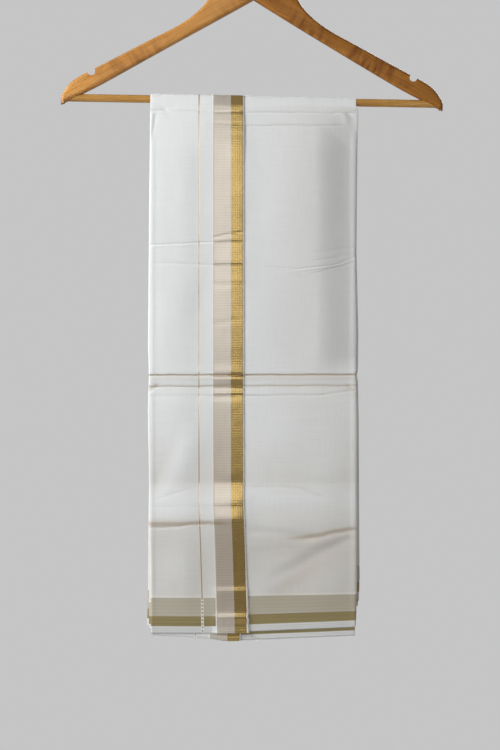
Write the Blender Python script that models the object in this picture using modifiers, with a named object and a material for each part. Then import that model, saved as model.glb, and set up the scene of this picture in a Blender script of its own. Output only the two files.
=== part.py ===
# A white dhoti with gold borders, pressed into a packet and hung over the bar of a wooden coat hanger.
# Metres, +Z up, front towards -Y. The origin is the inside of the hook's top, where the hanger hangs.

import math

import bmesh
import bpy
from mathutils import Matrix, Vector

# Clearance between touching pieces
GAP = 0.0003

# Points nearer than this are one point, and edges that turn more than this stay sharp
WELD_DISTANCE = 0.00001
SHARP_FROM = math.radians(40)

# Hanger: wood and wire, drawn level and then turned about the hook by the lean
HANGER_LEAN = math.radians(1.0)
ARM_THICKNESS = 0.013
ARM_ROUNDING = 0.0036
ARM_ROUNDING_STEPS = 3
APEX_Z = -0.1172
NECK_HEIGHT = 0.047
NOTCH_X = 0.1885
NOTCH_WIDTH = 0.009
NOTCH_DEPTH = 0.0062
NOTCH_SIDES = 16
BAR_RADIUS = 0.0045
BAR_Z = -0.2346
BAR_HALF_LENGTH = 0.2140
BAR_SIDES = 24

# How far the middle of each arm bows down from the drawn outline
ARM_BOW = {"arm_left": -0.0004, "arm_right": 0.0014}

# Hook: a round wire, bent to an open ring above the neck
HOOK_WIRE_RADIUS = 0.00175
HOOK_INNER_RADIUS = 0.0190
HOOK_SCREW_DEPTH = 0.0135
HOOK_RING_START = math.radians(-50)
HOOK_RING_END = math.radians(206)
HOOK_BEND_START_Z = -0.0560
HOOK_BEND_POINTS = 9
HOOK_RING_POINTS = 25
HOOK_BEND_PULL = 0.42
HOOK_HOLE_SIDES = 16

# One arm's edge from the foot of the mitre, out along the underside and back over the top.
# Columns: distance from the middle, height above the apex.
ARM_UNDERSIDE = [
    (0.0000, 0.0000),
    (0.0900, -0.0519),
    (0.1750, -0.1009),
    (0.2000, -0.1138),
    (0.2226, -0.1257),
]
ARM_NOSE = [
    (0.2224, -0.1165),
    (0.2172, -0.1068),
    (0.2090, -0.0978),
    (0.1970, -0.0902),
]
ARM_TOP = [
    (0.1750, -0.0786),
    (0.1170, -0.0476),
    (0.0934, -0.0353),
    (0.0760, -0.0241),
]
ARM_NECK = [
    (0.0660, -0.0156),
    (0.0584, -0.0079),
    (0.0530, 0.0000),
    (0.0470, 0.0095),
    (0.0405, 0.0200),
    (0.0330, 0.0305),
    (0.0245, 0.0392),
    (0.0140, 0.0450),
]

# How the folded cloth hangs. A row for each level where its folds and creases turn it.
# Columns: drop below the middle of the bar, reach of the innermost face from the bar's middle
# plane in front, and the same behind.
HANG_ROWS = [
    (0.0060, 0.0049, 0.0049),
    (0.0160, 0.0054, 0.0053),
    (0.0340, 0.0061, 0.0060),
    (0.0700, 0.0062, 0.0062),
    (0.1200, 0.0055, 0.0056),
    (0.1650, 0.0045, 0.0049),
    (0.1720, 0.0047, 0.0051),
    (0.2300, 0.0058, 0.0052),
    (0.2850, 0.0053, 0.0046),
    (0.3150, 0.0040, 0.0038),
    (0.3205, 0.0031, 0.0033),
    (0.3260, 0.0041, 0.0040),
    (0.3385, 0.0050, 0.0048),
    (0.3440, 0.0042, 0.0042),
    (0.3900, 0.0053, 0.0046),
    (0.4500, 0.0055, 0.0046),
    (0.4850, 0.0044, 0.0040),
    (0.4930, 0.0047, 0.0042),
    (0.5450, 0.0055, 0.0040),
]
HANG_LENGTH = 0.6200
STEPS_OVER_BAR = 10
LAYERS_LOOSEN_BY = 0.060

# How far the back half has swung to the right by its lower edge
BACK_SWING = 0.0042

# The cloth's stretches. Each lies on the one before it.
# Columns: start and thickness of the wall over the bar, then start and thickness where it hangs,
# counted outwards from the packet's innermost face.
STACK = {
    "deep_fold": (0.00000, 0.00035, 0.00000, 0.00090),
    "middle_fold": (0.00035, 0.00035, 0.00090, 0.00090),
    "under_main": (0.00070, 0.00035, 0.00180, 0.00090),
    "main_panel": (0.00135, 0.00100, 0.00300, 0.00100),
    "turned_under_panel": (0.00265, 0.00100, 0.00430, 0.00100),
    "turned_panel": (0.00395, 0.00100, 0.00560, 0.00100),
}

# Side edges of each stretch in front. Columns: drop, left edge, right edge.
SIDE_EDGES = {
    "deep_fold": [(0.000, -0.1205, 0.1160), (0.440, -0.1232, 0.1156), (0.592, -0.1254, 0.1152),
                  (0.620, -0.1258, 0.1150)],
    "middle_fold": [(0.000, -0.1212, 0.1168), (0.300, -0.1236, 0.1162), (0.620, -0.1240, 0.1158)],
    "under_main": [(0.000, -0.1218, 0.1178), (0.300, -0.1240, 0.1166), (0.540, -0.1222, 0.1166),
                   (0.620, -0.1222, 0.1158)],
    "main_panel": [(0.000, -0.1212, 0.1198), (0.175, -0.1226, 0.1173), (0.270, -0.1232, 0.1188),
                   (0.3205, -0.1222, 0.1176), (0.370, -0.1230, 0.1186), (0.570, -0.1210, 0.1182),
                   (0.620, -0.1210, 0.1169)],
    "turned_under_panel": [(0.000, -0.1214, -0.0168), (0.300, -0.1238, -0.0168), (0.560, -0.1212, -0.0168),
                           (0.620, -0.1214, -0.0168)],
    "turned_panel": [(0.000, -0.1223, -0.0127), (0.285, -0.1249, -0.0127), (0.3205, -0.1237, -0.0127),
                     (0.360, -0.1249, -0.0127), (0.470, -0.1232, -0.0124), (0.537, -0.1218, -0.0100),
                     (0.583, -0.1214, -0.0080), (0.620, -0.1214, -0.0075)],
}

# Lower edges, which are the cloth's two woven sides. Columns: place across, height.
FRONT_HEMS = {
    "deep_fold": [(-0.1258, -0.8468), (0.1150, -0.8440)],
    "middle_fold": [(-0.1240, -0.8510), (0.1158, -0.8490)],
    "under_main": [(-0.1222, -0.8565), (-0.0180, -0.8640), (0.1158, -0.8584)],
    "main_panel": [(-0.1210, -0.8554), (-0.0075, -0.8533), (0.1169, -0.8480)],
    "turned_under_panel": [(-0.1214, -0.8574), (-0.0560, -0.8614), (-0.0260, -0.8646), (-0.0168, -0.8641)],
    "turned_panel": [(-0.1214, -0.8546), (-0.0075, -0.8544)],
}
BACK_HEMS = {
    "deep_fold": [(-0.1210, -0.8270), (0.1220, -0.8160)],
    "middle_fold": [(-0.1210, -0.8290), (0.1220, -0.8185)],
    "under_main": [(-0.1210, -0.8345), (0.1220, -0.8255)],
    "main_panel": [(-0.1210, -0.8290), (0.1220, -0.8205)],
    "turned_under_panel": [(-0.1210, -0.8365), (-0.0130, -0.8385)],
    "turned_panel": [(-0.1210, -0.8300), (-0.0130, -0.8280)],
}

# Points across each stretch
COLUMNS = {
    "deep_fold": 7,
    "middle_fold": 7,
    "under_main": 7,
    "main_panel": 10,
    "turned_under_panel": 5,
    "turned_panel": 6,
}

# The layers that share one solid, from the outermost in
HIDDEN_LAYERS = ("under_main", "middle_fold", "deep_fold")

# Where points lie round the fold at a side edge
EDGE_ARC = (math.radians(50), 0.0, math.radians(-50))


def clear_scene():
    for old in list(bpy.data.objects):
        bpy.data.objects.remove(old, do_unlink=True)


def new_collection(name):
    collection = bpy.data.collections.new(name)
    bpy.context.scene.collection.children.link(collection)
    return collection


def new_material(name, colour, roughness, metallic=0.0):
    material = bpy.data.materials.new(name)
    material.use_nodes = True
    shader = material.node_tree.nodes["Principled BSDF"]
    shader.inputs["Base Color"].default_value = (*colour, 1.0)
    shader.inputs["Roughness"].default_value = roughness
    shader.inputs["Metallic"].default_value = metallic
    return material


def add_object(name, mesh, collection, material=None, parent=None):
    shape = bpy.data.objects.new(name, mesh)
    collection.objects.link(shape)
    if material:
        mesh.materials.clear()
        mesh.materials.append(material)
    if parent:
        shape.parent = parent
    return shape


def mesh_from_bmesh(name, shape):
    mesh = bpy.data.meshes.new(name)
    bmesh.ops.recalc_face_normals(shape, faces=shape.faces)
    shape.to_mesh(mesh)
    shape.free()
    return mesh


def mesh_from_curve(curve_object):
    # A curve's caps are loose, so they are welded to its sides
    bpy.context.view_layer.update()
    evaluated = curve_object.evaluated_get(bpy.context.evaluated_depsgraph_get())
    mesh = bpy.data.meshes.new_from_object(evaluated)
    mesh.name = curve_object.name
    shape = bmesh.new()
    shape.from_mesh(mesh)
    bmesh.ops.remove_doubles(shape, verts=shape.verts, dist=WELD_DISTANCE)
    bmesh.ops.recalc_face_normals(shape, faces=shape.faces)
    shape.to_mesh(mesh)
    shape.free()
    bpy.data.objects.remove(curve_object, do_unlink=True)
    return mesh


def shade_round(mesh):
    mesh.shade_smooth()
    mesh.set_sharp_from_angle(angle=SHARP_FROM)


def between(table, value, column=1):
    # Straight-line reading of a table whose first column rises
    if value <= table[0][0]:
        return table[0][column]
    for before, after in zip(table, table[1:]):
        if value <= after[0]:
            share = (value - before[0]) / (after[0] - before[0])
            return before[column] + share * (after[column] - before[column])
    return table[-1][column]


def bar_height(x):
    # The bar leans with the hanger, and the cloth hangs plumb from it
    return BAR_Z / math.cos(HANGER_LEAN) - x * math.tan(HANGER_LEAN)


def stations():
    # From the front lower edge, up the front, over the bar and down the back.
    # Each is a side, a drop, a reach and an angle round the bar.
    rows = HANG_ROWS + [(HANG_LENGTH, *HANG_ROWS[-1][1:])]
    front = [("front", drop, reach, 0.0) for drop, reach, _ in reversed(rows)]
    round_bar = []
    for step in range(STEPS_OVER_BAR + 1):
        angle = math.pi * step / STEPS_OVER_BAR
        round_bar.append(("bar", 0.0, BAR_RADIUS + GAP, angle))
    back = [("back", drop, reach, math.pi) for drop, _, reach in rows]
    return front + round_bar + back


def loosening(drop):
    # 0 where the layers are pressed to the bar, 1 where they hang free
    share = min(drop / LAYERS_LOOSEN_BY, 1.0)
    return share * share * (3.0 - 2.0 * share)


def wall_range(name, drop):
    start_tight, wall_tight, start_loose, wall_loose = STACK[name]
    share = loosening(drop)
    start = start_tight + share * (start_loose - start_tight)
    wall = wall_tight + share * (wall_loose - wall_tight)
    return start, wall


def cloth_point(name, side, drop, reach, angle, x, offset):
    if side == "bar":
        radius = reach + offset
        return Vector((x, -radius * math.cos(angle), bar_height(x) + radius * math.sin(angle)))
    swing = BACK_SWING * drop / HANG_LENGTH if side == "back" else 0.0
    direction = -1.0 if side == "front" else 1.0
    if drop < HANG_LENGTH:
        # Rows lie along the leaning bar at first and level further down
        share = loosening(drop)
        z = bar_height(x) * (1.0 - share) + bar_height(0.0) * share - drop
    else:
        hems = FRONT_HEMS if side == "front" else BACK_HEMS
        z = between(hems[name], x + swing)
    return Vector((x + swing, direction * (reach + offset), z))


def layer_section(name, station):
    # One layer's section at one station: outer row, right fold, inner row and left fold
    side, drop, reach, angle = station
    start, wall = wall_range(name, drop)
    half = wall / 2.0
    left = between(SIDE_EDGES[name], drop, 1) + half
    right = between(SIDE_EDGES[name], drop, 2) - half
    count = COLUMNS[name]
    across = [left + (right - left) * column / (count - 1) for column in range(count)]
    places = {
        "outer": [(x, start + wall) for x in across],
        "right": [(right + half * math.cos(turn), start + half + half * math.sin(turn)) for turn in EDGE_ARC],
        "inner": [(x, start) for x in reversed(across)],
        "left": [(left - half * math.cos(turn), start + half - half * math.sin(turn)) for turn in EDGE_ARC],
    }
    return {row_name: [cloth_point(name, side, drop, reach, angle, x, offset) for x, offset in row]
            for row_name, row in places.items()}


def ring_round(sections):
    # Round the whole wall: the first layer's face, down the right folds, the last layer's
    # inner face and back up the left folds
    ring = list(sections[0]["outer"])
    for section in sections:
        ring += section["right"]
    ring += sections[-1]["inner"]
    for section in reversed(sections):
        ring += section["left"]
    return ring


def close_lower_edge(shape, sections, ring_verts):
    # Each layer's own edge, and the step from it to the next one's
    count = len(sections[0]["outer"])
    folds = len(EDGE_ARC)
    rights = [ring_verts[count + folds * index:][:folds] for index in range(len(sections))]
    after_inner = 2 * count + folds * len(sections)
    lefts = [ring_verts[after_inner + folds * index:][:folds] for index in range(len(sections))][::-1]
    outer = ring_verts[:count]
    for index, section in enumerate(sections):
        last = index == len(sections) - 1
        if last:
            inner = ring_verts[count + folds * len(sections):][:count]
        else:
            inner = [shape.verts.new(point) for point in section["inner"]]
        shape.faces.new(outer + rights[index] + inner + lefts[index])
        if last:
            continue
        next_outer = [shape.verts.new(point) for point in sections[index + 1]["outer"]]
        upper = [lefts[index][0]] + inner[::-1] + [rights[index][-1]]
        lower = [lefts[index + 1][-1]] + next_outer + [rights[index + 1][0]]
        for column in range(len(upper) - 1):
            shape.faces.new((upper[column], upper[column + 1], lower[column + 1], lower[column]))
        outer = next_outer


def cloth_wall(name, layers):
    # Layers are named from the outermost in
    shape = bmesh.new()
    rings = []
    route = stations()
    for station in route:
        sections = [layer_section(layer, station) for layer in layers]
        rings.append([shape.verts.new(point) for point in ring_round(sections)])
    for lower, upper in zip(rings, rings[1:]):
        for index in range(len(lower)):
            following = (index + 1) % len(lower)
            shape.faces.new((lower[index], lower[following], upper[following], upper[index]))
    for station, ring in ((route[0], rings[0]), (route[-1], rings[-1])):
        close_lower_edge(shape, [layer_section(layer, station) for layer in layers], ring)
    mesh = mesh_from_bmesh(name, shape)
    shade_round(mesh)
    return mesh


def make_panel(name, collection, material):
    return add_object(name, cloth_wall(name, [name]), collection, material)


def make_inner_folds(collection, material):
    # The hidden layers share one solid, stepped where their edges show
    return add_object("inner_folds", cloth_wall("inner_folds", HIDDEN_LAYERS), collection, material)


def add_cutter(name, mesh, cutters, parent=None):
    cutter = add_object(name, mesh, cutters, parent=parent)
    cutter.display_type = "WIRE"
    cutter.hide_render = True
    return cutter


def cut(target, cutter):
    modifier = target.modifiers.new("cut_" + cutter.name, "BOOLEAN")
    modifier.operation = "DIFFERENCE"
    modifier.object = cutter


def cylinder_mesh(name, radius, length, sides, matrix):
    shape = bmesh.new()
    bmesh.ops.create_cone(shape, cap_ends=True, segments=sides, radius1=radius, radius2=radius,
                          depth=length, matrix=matrix)
    mesh = mesh_from_bmesh(name, shape)
    shade_round(mesh)
    return mesh


def arm_outline(name, side):
    edge = ARM_UNDERSIDE + ARM_NOSE + ARM_TOP + ARM_NECK + [(0.0, NECK_HEIGHT)]
    reach = ARM_UNDERSIDE[-1][0]
    outline = []
    for across, height in edge:
        bow = ARM_BOW[name] * math.sin(math.pi * across / reach)
        outline.append((side * max(across, GAP / 2.0), APEX_Z + height - bow))
    return outline


def weigh_rim_edges(mesh):
    # The edges round both flat faces take the rounding, and those of the mitre stay sharp
    shape = bmesh.new()
    shape.from_mesh(mesh)
    bmesh.ops.dissolve_limit(shape, angle_limit=math.radians(1), verts=shape.verts, edges=shape.edges)
    weight = shape.edges.layers.float.new("bevel_weight_edge")
    for edge in shape.edges:
        ends = [vertex.co for vertex in edge.verts]
        on_rim = abs(ends[0].y - ends[1].y) < GAP
        on_mitre = all(abs(end.x) < GAP for end in ends)
        edge[weight] = 1.0 if on_rim and not on_mitre else 0.0
    shape.to_mesh(mesh)
    shape.free()


def make_arm(name, side, collection, material, parent):
    # A flat outline, given its thickness, with every edge rounded but those of the mitre
    data = bpy.data.curves.new(name, "CURVE")
    data.dimensions = "2D"
    data.fill_mode = "BOTH"
    data.extrude = ARM_THICKNESS / 2.0
    outline = arm_outline(name, side)
    spline = data.splines.new("POLY")
    spline.points.add(len(outline) - 1)
    for point, (x, z) in zip(spline.points, outline):
        point.co = (x, z, 0.0, 1.0)
    spline.use_cyclic_u = True
    curve = bpy.data.objects.new(name + "_outline", data)
    collection.objects.link(curve)
    mesh = mesh_from_curve(curve)
    mesh.transform(Matrix.Rotation(math.radians(90), 4, "X"))
    weigh_rim_edges(mesh)
    arm = add_object(name, mesh, collection, material, parent)
    rounding = arm.modifiers.new("rounded_edges", "BEVEL")
    rounding.limit_method = "WEIGHT"
    rounding.width = ARM_ROUNDING
    rounding.segments = ARM_ROUNDING_STEPS
    rounding.use_clamp_overlap = False
    return arm


def notch_cutters(name, side, cutters, parent):
    # A saw slot with a round bottom, square to the top of the arm
    bow = ARM_BOW[name] * math.sin(math.pi * NOTCH_X / ARM_UNDERSIDE[-1][0])
    slope = math.atan2(ARM_TOP[0][1] - ARM_TOP[1][1], ARM_TOP[0][0] - ARM_TOP[1][0])
    mouth_z = APEX_Z + ARM_TOP[0][1] + (NOTCH_X - ARM_TOP[0][0]) * math.tan(slope) - bow
    radius = NOTCH_WIDTH / 2.0
    bottom = -(NOTCH_DEPTH - radius)
    through = ARM_THICKNESS * 2.0
    place = Matrix.Translation((side * NOTCH_X, 0.0, mouth_z)) @ Matrix.Rotation(-side * slope, 4, "Y")
    lie_across = Matrix.Translation((0.0, 0.0, bottom)) @ Matrix.Rotation(math.radians(90), 4, "X")
    round_end = cylinder_mesh(name + "_notch_round", radius, through, NOTCH_SIDES, place @ lie_across)
    box = bmesh.new()
    size = Matrix.Diagonal((NOTCH_WIDTH, through, 2.0 * NOTCH_DEPTH, 1.0))
    raised = Matrix.Translation((0.0, 0.0, bottom + NOTCH_DEPTH))
    bmesh.ops.create_cube(box, size=1.0, matrix=place @ raised @ size)
    slot = mesh_from_bmesh(name + "_notch_slot", box)
    return [add_cutter(mesh.name, mesh, cutters, parent) for mesh in (round_end, slot)]


def bar_hole_cutter(cutters, parent):
    along = Matrix.Translation((0.0, 0.0, BAR_Z)) @ Matrix.Rotation(math.radians(90), 4, "Y")
    mesh = cylinder_mesh("bar_hole", BAR_RADIUS + GAP, 2.0 * (BAR_HALF_LENGTH + GAP), BAR_SIDES, along)
    return add_cutter("bar_hole", mesh, cutters, parent)


def hook_hole_cutter(cutters, parent):
    height = 2.0 * (HOOK_SCREW_DEPTH + GAP)
    top = APEX_Z + NECK_HEIGHT
    place = Matrix.Translation((0.0, 0.0, top))
    mesh = cylinder_mesh("hook_hole", HOOK_WIRE_RADIUS + GAP, height, HOOK_HOLE_SIDES, place)
    return add_cutter("hook_hole", mesh, cutters, parent)


def make_bar(collection, material, parent):
    along = Matrix.Translation((0.0, 0.0, BAR_Z)) @ Matrix.Rotation(math.radians(90), 4, "Y")
    mesh = cylinder_mesh("trouser_bar", BAR_RADIUS, 2.0 * BAR_HALF_LENGTH, BAR_SIDES, along)
    return add_object("trouser_bar", mesh, collection, material, parent)


def hook_route():
    # Straight up out of the neck, an easy bend to one side and round the ring
    ring = HOOK_INNER_RADIUS + HOOK_WIRE_RADIUS
    centre = Vector((0.0, 0.0, -HOOK_INNER_RADIUS))
    foot = Vector((0.0, 0.0, APEX_Z + NECK_HEIGHT - HOOK_SCREW_DEPTH))
    bend = Vector((0.0, 0.0, HOOK_BEND_START_Z))
    join = centre + ring * Vector((math.cos(HOOK_RING_START), 0.0, math.sin(HOOK_RING_START)))
    heading = Vector((-math.sin(HOOK_RING_START), 0.0, math.cos(HOOK_RING_START)))
    pull = (join - bend).length * HOOK_BEND_PULL
    bend_pull = bend + Vector((0.0, 0.0, pull))
    join_pull = join - heading * pull
    route = [foot, foot.lerp(bend, 0.5)]
    for step in range(HOOK_BEND_POINTS):
        share = step / HOOK_BEND_POINTS
        rest = 1.0 - share
        route.append(bend * rest ** 3 + bend_pull * (3 * rest ** 2 * share)
                     + join_pull * (3 * rest * share ** 2) + join * share ** 3)
    for step in range(HOOK_RING_POINTS + 1):
        turn = HOOK_RING_START + (HOOK_RING_END - HOOK_RING_START) * step / HOOK_RING_POINTS
        route.append(centre + ring * Vector((math.cos(turn), 0.0, math.sin(turn))))
    return route


def make_hook(collection, material, parent):
    data = bpy.data.curves.new("hook", "CURVE")
    data.dimensions = "3D"
    data.bevel_depth = HOOK_WIRE_RADIUS
    data.bevel_resolution = 2
    data.use_fill_caps = True
    route = hook_route()
    spline = data.splines.new("POLY")
    spline.points.add(len(route) - 1)
    for point, place in zip(spline.points, route):
        point.co = (*place, 1.0)
    curve = bpy.data.objects.new("hook_route", data)
    collection.objects.link(curve)
    mesh = mesh_from_curve(curve)
    shade_round(mesh)
    return add_object("hook", mesh, collection, material, parent)


def make_hanger(collection, cutters):
    varnished = new_material("varnished_hardwood", (0.40, 0.13, 0.025), 0.35)
    plain_wood = new_material("plain_hardwood", (0.52, 0.25, 0.07), 0.5)
    wire = new_material("plated_wire", (0.62, 0.62, 0.62), 0.25, 1.0)
    hang = bpy.data.objects.new("hanger_hang", None)
    hang.rotation_euler = (0.0, HANGER_LEAN, 0.0)
    collection.objects.link(hang)
    bar_hole = bar_hole_cutter(cutters, hang)
    hook_hole = hook_hole_cutter(cutters, hang)
    for name, side in (("arm_left", -1.0), ("arm_right", 1.0)):
        arm = make_arm(name, side, collection, varnished, hang)
        for cutter in (*notch_cutters(name, side, cutters, hang), bar_hole, hook_hole):
            cut(arm, cutter)
    make_bar(collection, plain_wood, hang)
    make_hook(collection, wire, hang)


def make_cloth(collection):
    white = new_material("white_cotton", (0.78, 0.77, 0.74), 0.85)
    banded = new_material("banded_cotton", (0.62, 0.48, 0.25), 0.7)
    make_inner_folds(collection, white)
    make_panel("main_panel", collection, white)
    make_panel("turned_under_panel", collection, white)
    make_panel("turned_panel", collection, banded)


def main():
    clear_scene()
    collection = new_collection("dhoti_on_hanger")
    cutters = new_collection("cutters")
    make_hanger(collection, cutters)
    make_cloth(collection)


main()
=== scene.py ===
import math

import bmesh
import bpy
import numpy as np
from mathutils import Matrix, Vector, noise


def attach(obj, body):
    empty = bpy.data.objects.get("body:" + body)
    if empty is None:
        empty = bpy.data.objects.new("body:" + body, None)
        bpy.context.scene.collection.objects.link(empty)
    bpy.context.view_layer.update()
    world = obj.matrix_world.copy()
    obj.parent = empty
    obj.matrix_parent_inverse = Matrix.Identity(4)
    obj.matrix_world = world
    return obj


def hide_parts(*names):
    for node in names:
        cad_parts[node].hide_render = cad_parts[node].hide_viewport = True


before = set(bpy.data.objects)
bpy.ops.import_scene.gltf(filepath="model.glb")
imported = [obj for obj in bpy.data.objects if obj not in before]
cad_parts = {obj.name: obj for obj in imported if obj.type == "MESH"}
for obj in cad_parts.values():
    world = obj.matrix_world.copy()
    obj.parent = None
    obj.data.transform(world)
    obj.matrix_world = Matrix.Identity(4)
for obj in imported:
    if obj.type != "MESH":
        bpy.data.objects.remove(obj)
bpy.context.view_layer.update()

mm = 0.001
lean = math.radians(1.0)                        # the hanger hangs a little low on the right
apexZ = -0.1172                                 # foot of the mitre between the two arms


# Small tools

def toLinear(hexColour):
    # sRGB hex to the linear numbers a shader wants
    channels = [int(hexColour[place:place + 2], 16) / 255.0 for place in (1, 3, 5)]
    return [c / 12.92 if c <= 0.04045 else ((c + 0.055) / 1.055) ** 2.4 for c in channels] + [1.0]


def addNode(tree, kind, inputs=None, **settings):
    # One node with its settings; an input takes a value or another node's output
    node = tree.nodes.new(kind)
    for name, value in settings.items():
        setattr(node, name, value)
    for name, value in (inputs or {}).items():
        if isinstance(value, bpy.types.NodeSocket):
            tree.links.new(value, node.inputs[name])
        else:
            node.inputs[name].default_value = value
    return node


def newMaterial(name):
    material = bpy.data.materials.new(name)
    material.use_nodes = True
    tree = material.node_tree
    return material, tree, tree.nodes["Principled BSDF"]


def setRamp(node, stops):
    ramp = node.color_ramp
    while len(ramp.elements) > 1:
        ramp.elements.remove(ramp.elements[-1])
    ramp.elements[0].position = stops[0][0]
    ramp.elements[0].color = stops[0][1]
    for place, colour in stops[1:]:
        ramp.elements.new(place).color = colour
    return node


def readTable(table, values, column):
    rows = np.array(table, float)
    return np.interp(values, rows[:, 0], rows[:, column])


def ease(share):
    share = np.clip(share, 0.0, 1.0)
    return share * share * (3.0 - 2.0 * share)


def bell(values, middle, half):
    return np.exp(-((values - middle) / half) ** 2)


def softened(read, values, reach):
    # What read gives for the values, with its corners rounded off over this reach
    total = 0.0
    for shift, weight in ((-reach, 0.25), (0.0, 0.5), (reach, 0.25)):
        total = total + weight * read(values + shift)
    return total


def placeObject(name, data):
    made = bpy.data.objects.new(name, data)
    bpy.context.scene.collection.objects.link(made)
    return made


def meshFrom(shape, name):
    mesh = bpy.data.meshes.new(name)
    shape.to_mesh(mesh)
    shape.free()
    return mesh


def evaluatedMesh(work, name):
    # What an object's modifiers make of it, as a mesh of its own
    bpy.context.view_layer.update()
    made = bpy.data.meshes.new_from_object(work.evaluated_get(bpy.context.evaluated_depsgraph_get()))
    made.name = name
    return made


def nodeGroup(name, sockets):
    # An empty Geometry Nodes group, and its inputs with the value that each is to get
    tree = bpy.data.node_groups.new(name, "GeometryNodeTree")
    tree.interface.new_socket("Geometry", in_out="INPUT", socket_type="NodeSocketGeometry")
    inputs = []
    for label, kind, value in sockets:
        inputs.append((tree.interface.new_socket(label, in_out="INPUT", socket_type=kind), value))
    tree.interface.new_socket("Geometry", in_out="OUTPUT", socket_type="NodeSocketGeometry")
    return tree, inputs


def growOnLine(name, points, joins, tree, inputs):
    # The mesh that a node group makes of a line of points
    line = bpy.data.meshes.new(name + "Route")
    line.from_pydata(points, joins, [])
    guide = placeObject(name + "Route", line)
    modifier = guide.modifiers.new("grown", "NODES")
    modifier.node_group = tree
    for socket, value in inputs:
        modifier[socket.identifier] = value
    made = evaluatedMesh(guide, name)
    bpy.data.objects.remove(guide, do_unlink=True)
    return made


def finishMesh(name, mesh, material, slotName, *nodes):
    piece = placeObject(name, mesh)
    mesh.materials.clear()
    mesh.materials.append(material)
    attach(piece, "root")
    if nodes:
        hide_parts(*nodes)
    return piece


# Cloth: white dhoti cotton with zari woven in along both sides and across both ends.
# Everything across the cloth is in mm from the nearest woven side, everything along it from its cut end.

cottonLook = {
    "white": "#E9EBEB",
    "slub": "#DADCDC",
    "denseWhite": "#F6F6F4",
    "sideDense": "#F1F2F1",
    "greyLine": "#D3D3CE",
    "warmShade": "#C6AA86",                          # warm grey-brown tint of the painted shade in creases and hollows
    # The side border's grey and gold are given duller, greener tones than the end border's: painted shade
    # for the weaker sheen of zari yarns running the other way
    "sideGrey": "#CBC8B9",
    "sideGold": "#A89A6E",
    "endGrey": "#DED4C6",
    "endGold": "#C0A361",
    "endGoldDeep": "#B8914C",                   # the gold's outermost yarns
    "endGreyEdge": "#CBC8B9",
    "stripe": "#E8DDC4",
    # How much of each band's yarn is metal
    "metal": {"sideGold": 0.45, "sideGrey": 0.25, "endGold": 0.78, "endGoldDeep": 0.78,
              "endGrey": 0.52, "endGreyEdge": 0.3, "stripe": 0.56},
    # Where the bands lie, in mm
    "selvedgeLines": ((1.3, 1.9), (3.6, 4.2), (5.8, 6.4)),
    "sideMargin": 8.6,                          # plain white outside the gold
    "sideGoldTo": 20.4,
    "sideGreyTo": 41.9,
    "sideDenseTo": 44.8,
    "endMargin": 1.7,
    "goldEdge": 0.9,
    "endGoldTo": 15.8,
    "endGreyTo": 36.4,
    "greyEdge": 1.2,
    "endDenseTo": 37.6,
    "stripeFrom": 52.05,
    "stripeTo": 53.95,
    "stripeMargin": 1.6,                        # denser white on both sides of the stripe
    "patternTo": 60.0,
    "dashPitch": 4.2,
    # The next three are finer in the real cloth, and are drawn coarse enough to show
    "threadPitch": 1.15,
    "checkPitch": 2.7,
    "ribPitch": 3.1,
    "checkStrength": 0.5,
    "streakStrength": 6.0,
    "patternShade": (0.74, 1.20),               # darkest and palest the zari's pattern gets
    "warmShadeStrength": 0.6,
    "cottonRoughness": 0.86,
    "zariRoughness": 0.23,
    "lacquer": 0.8,
}


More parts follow.
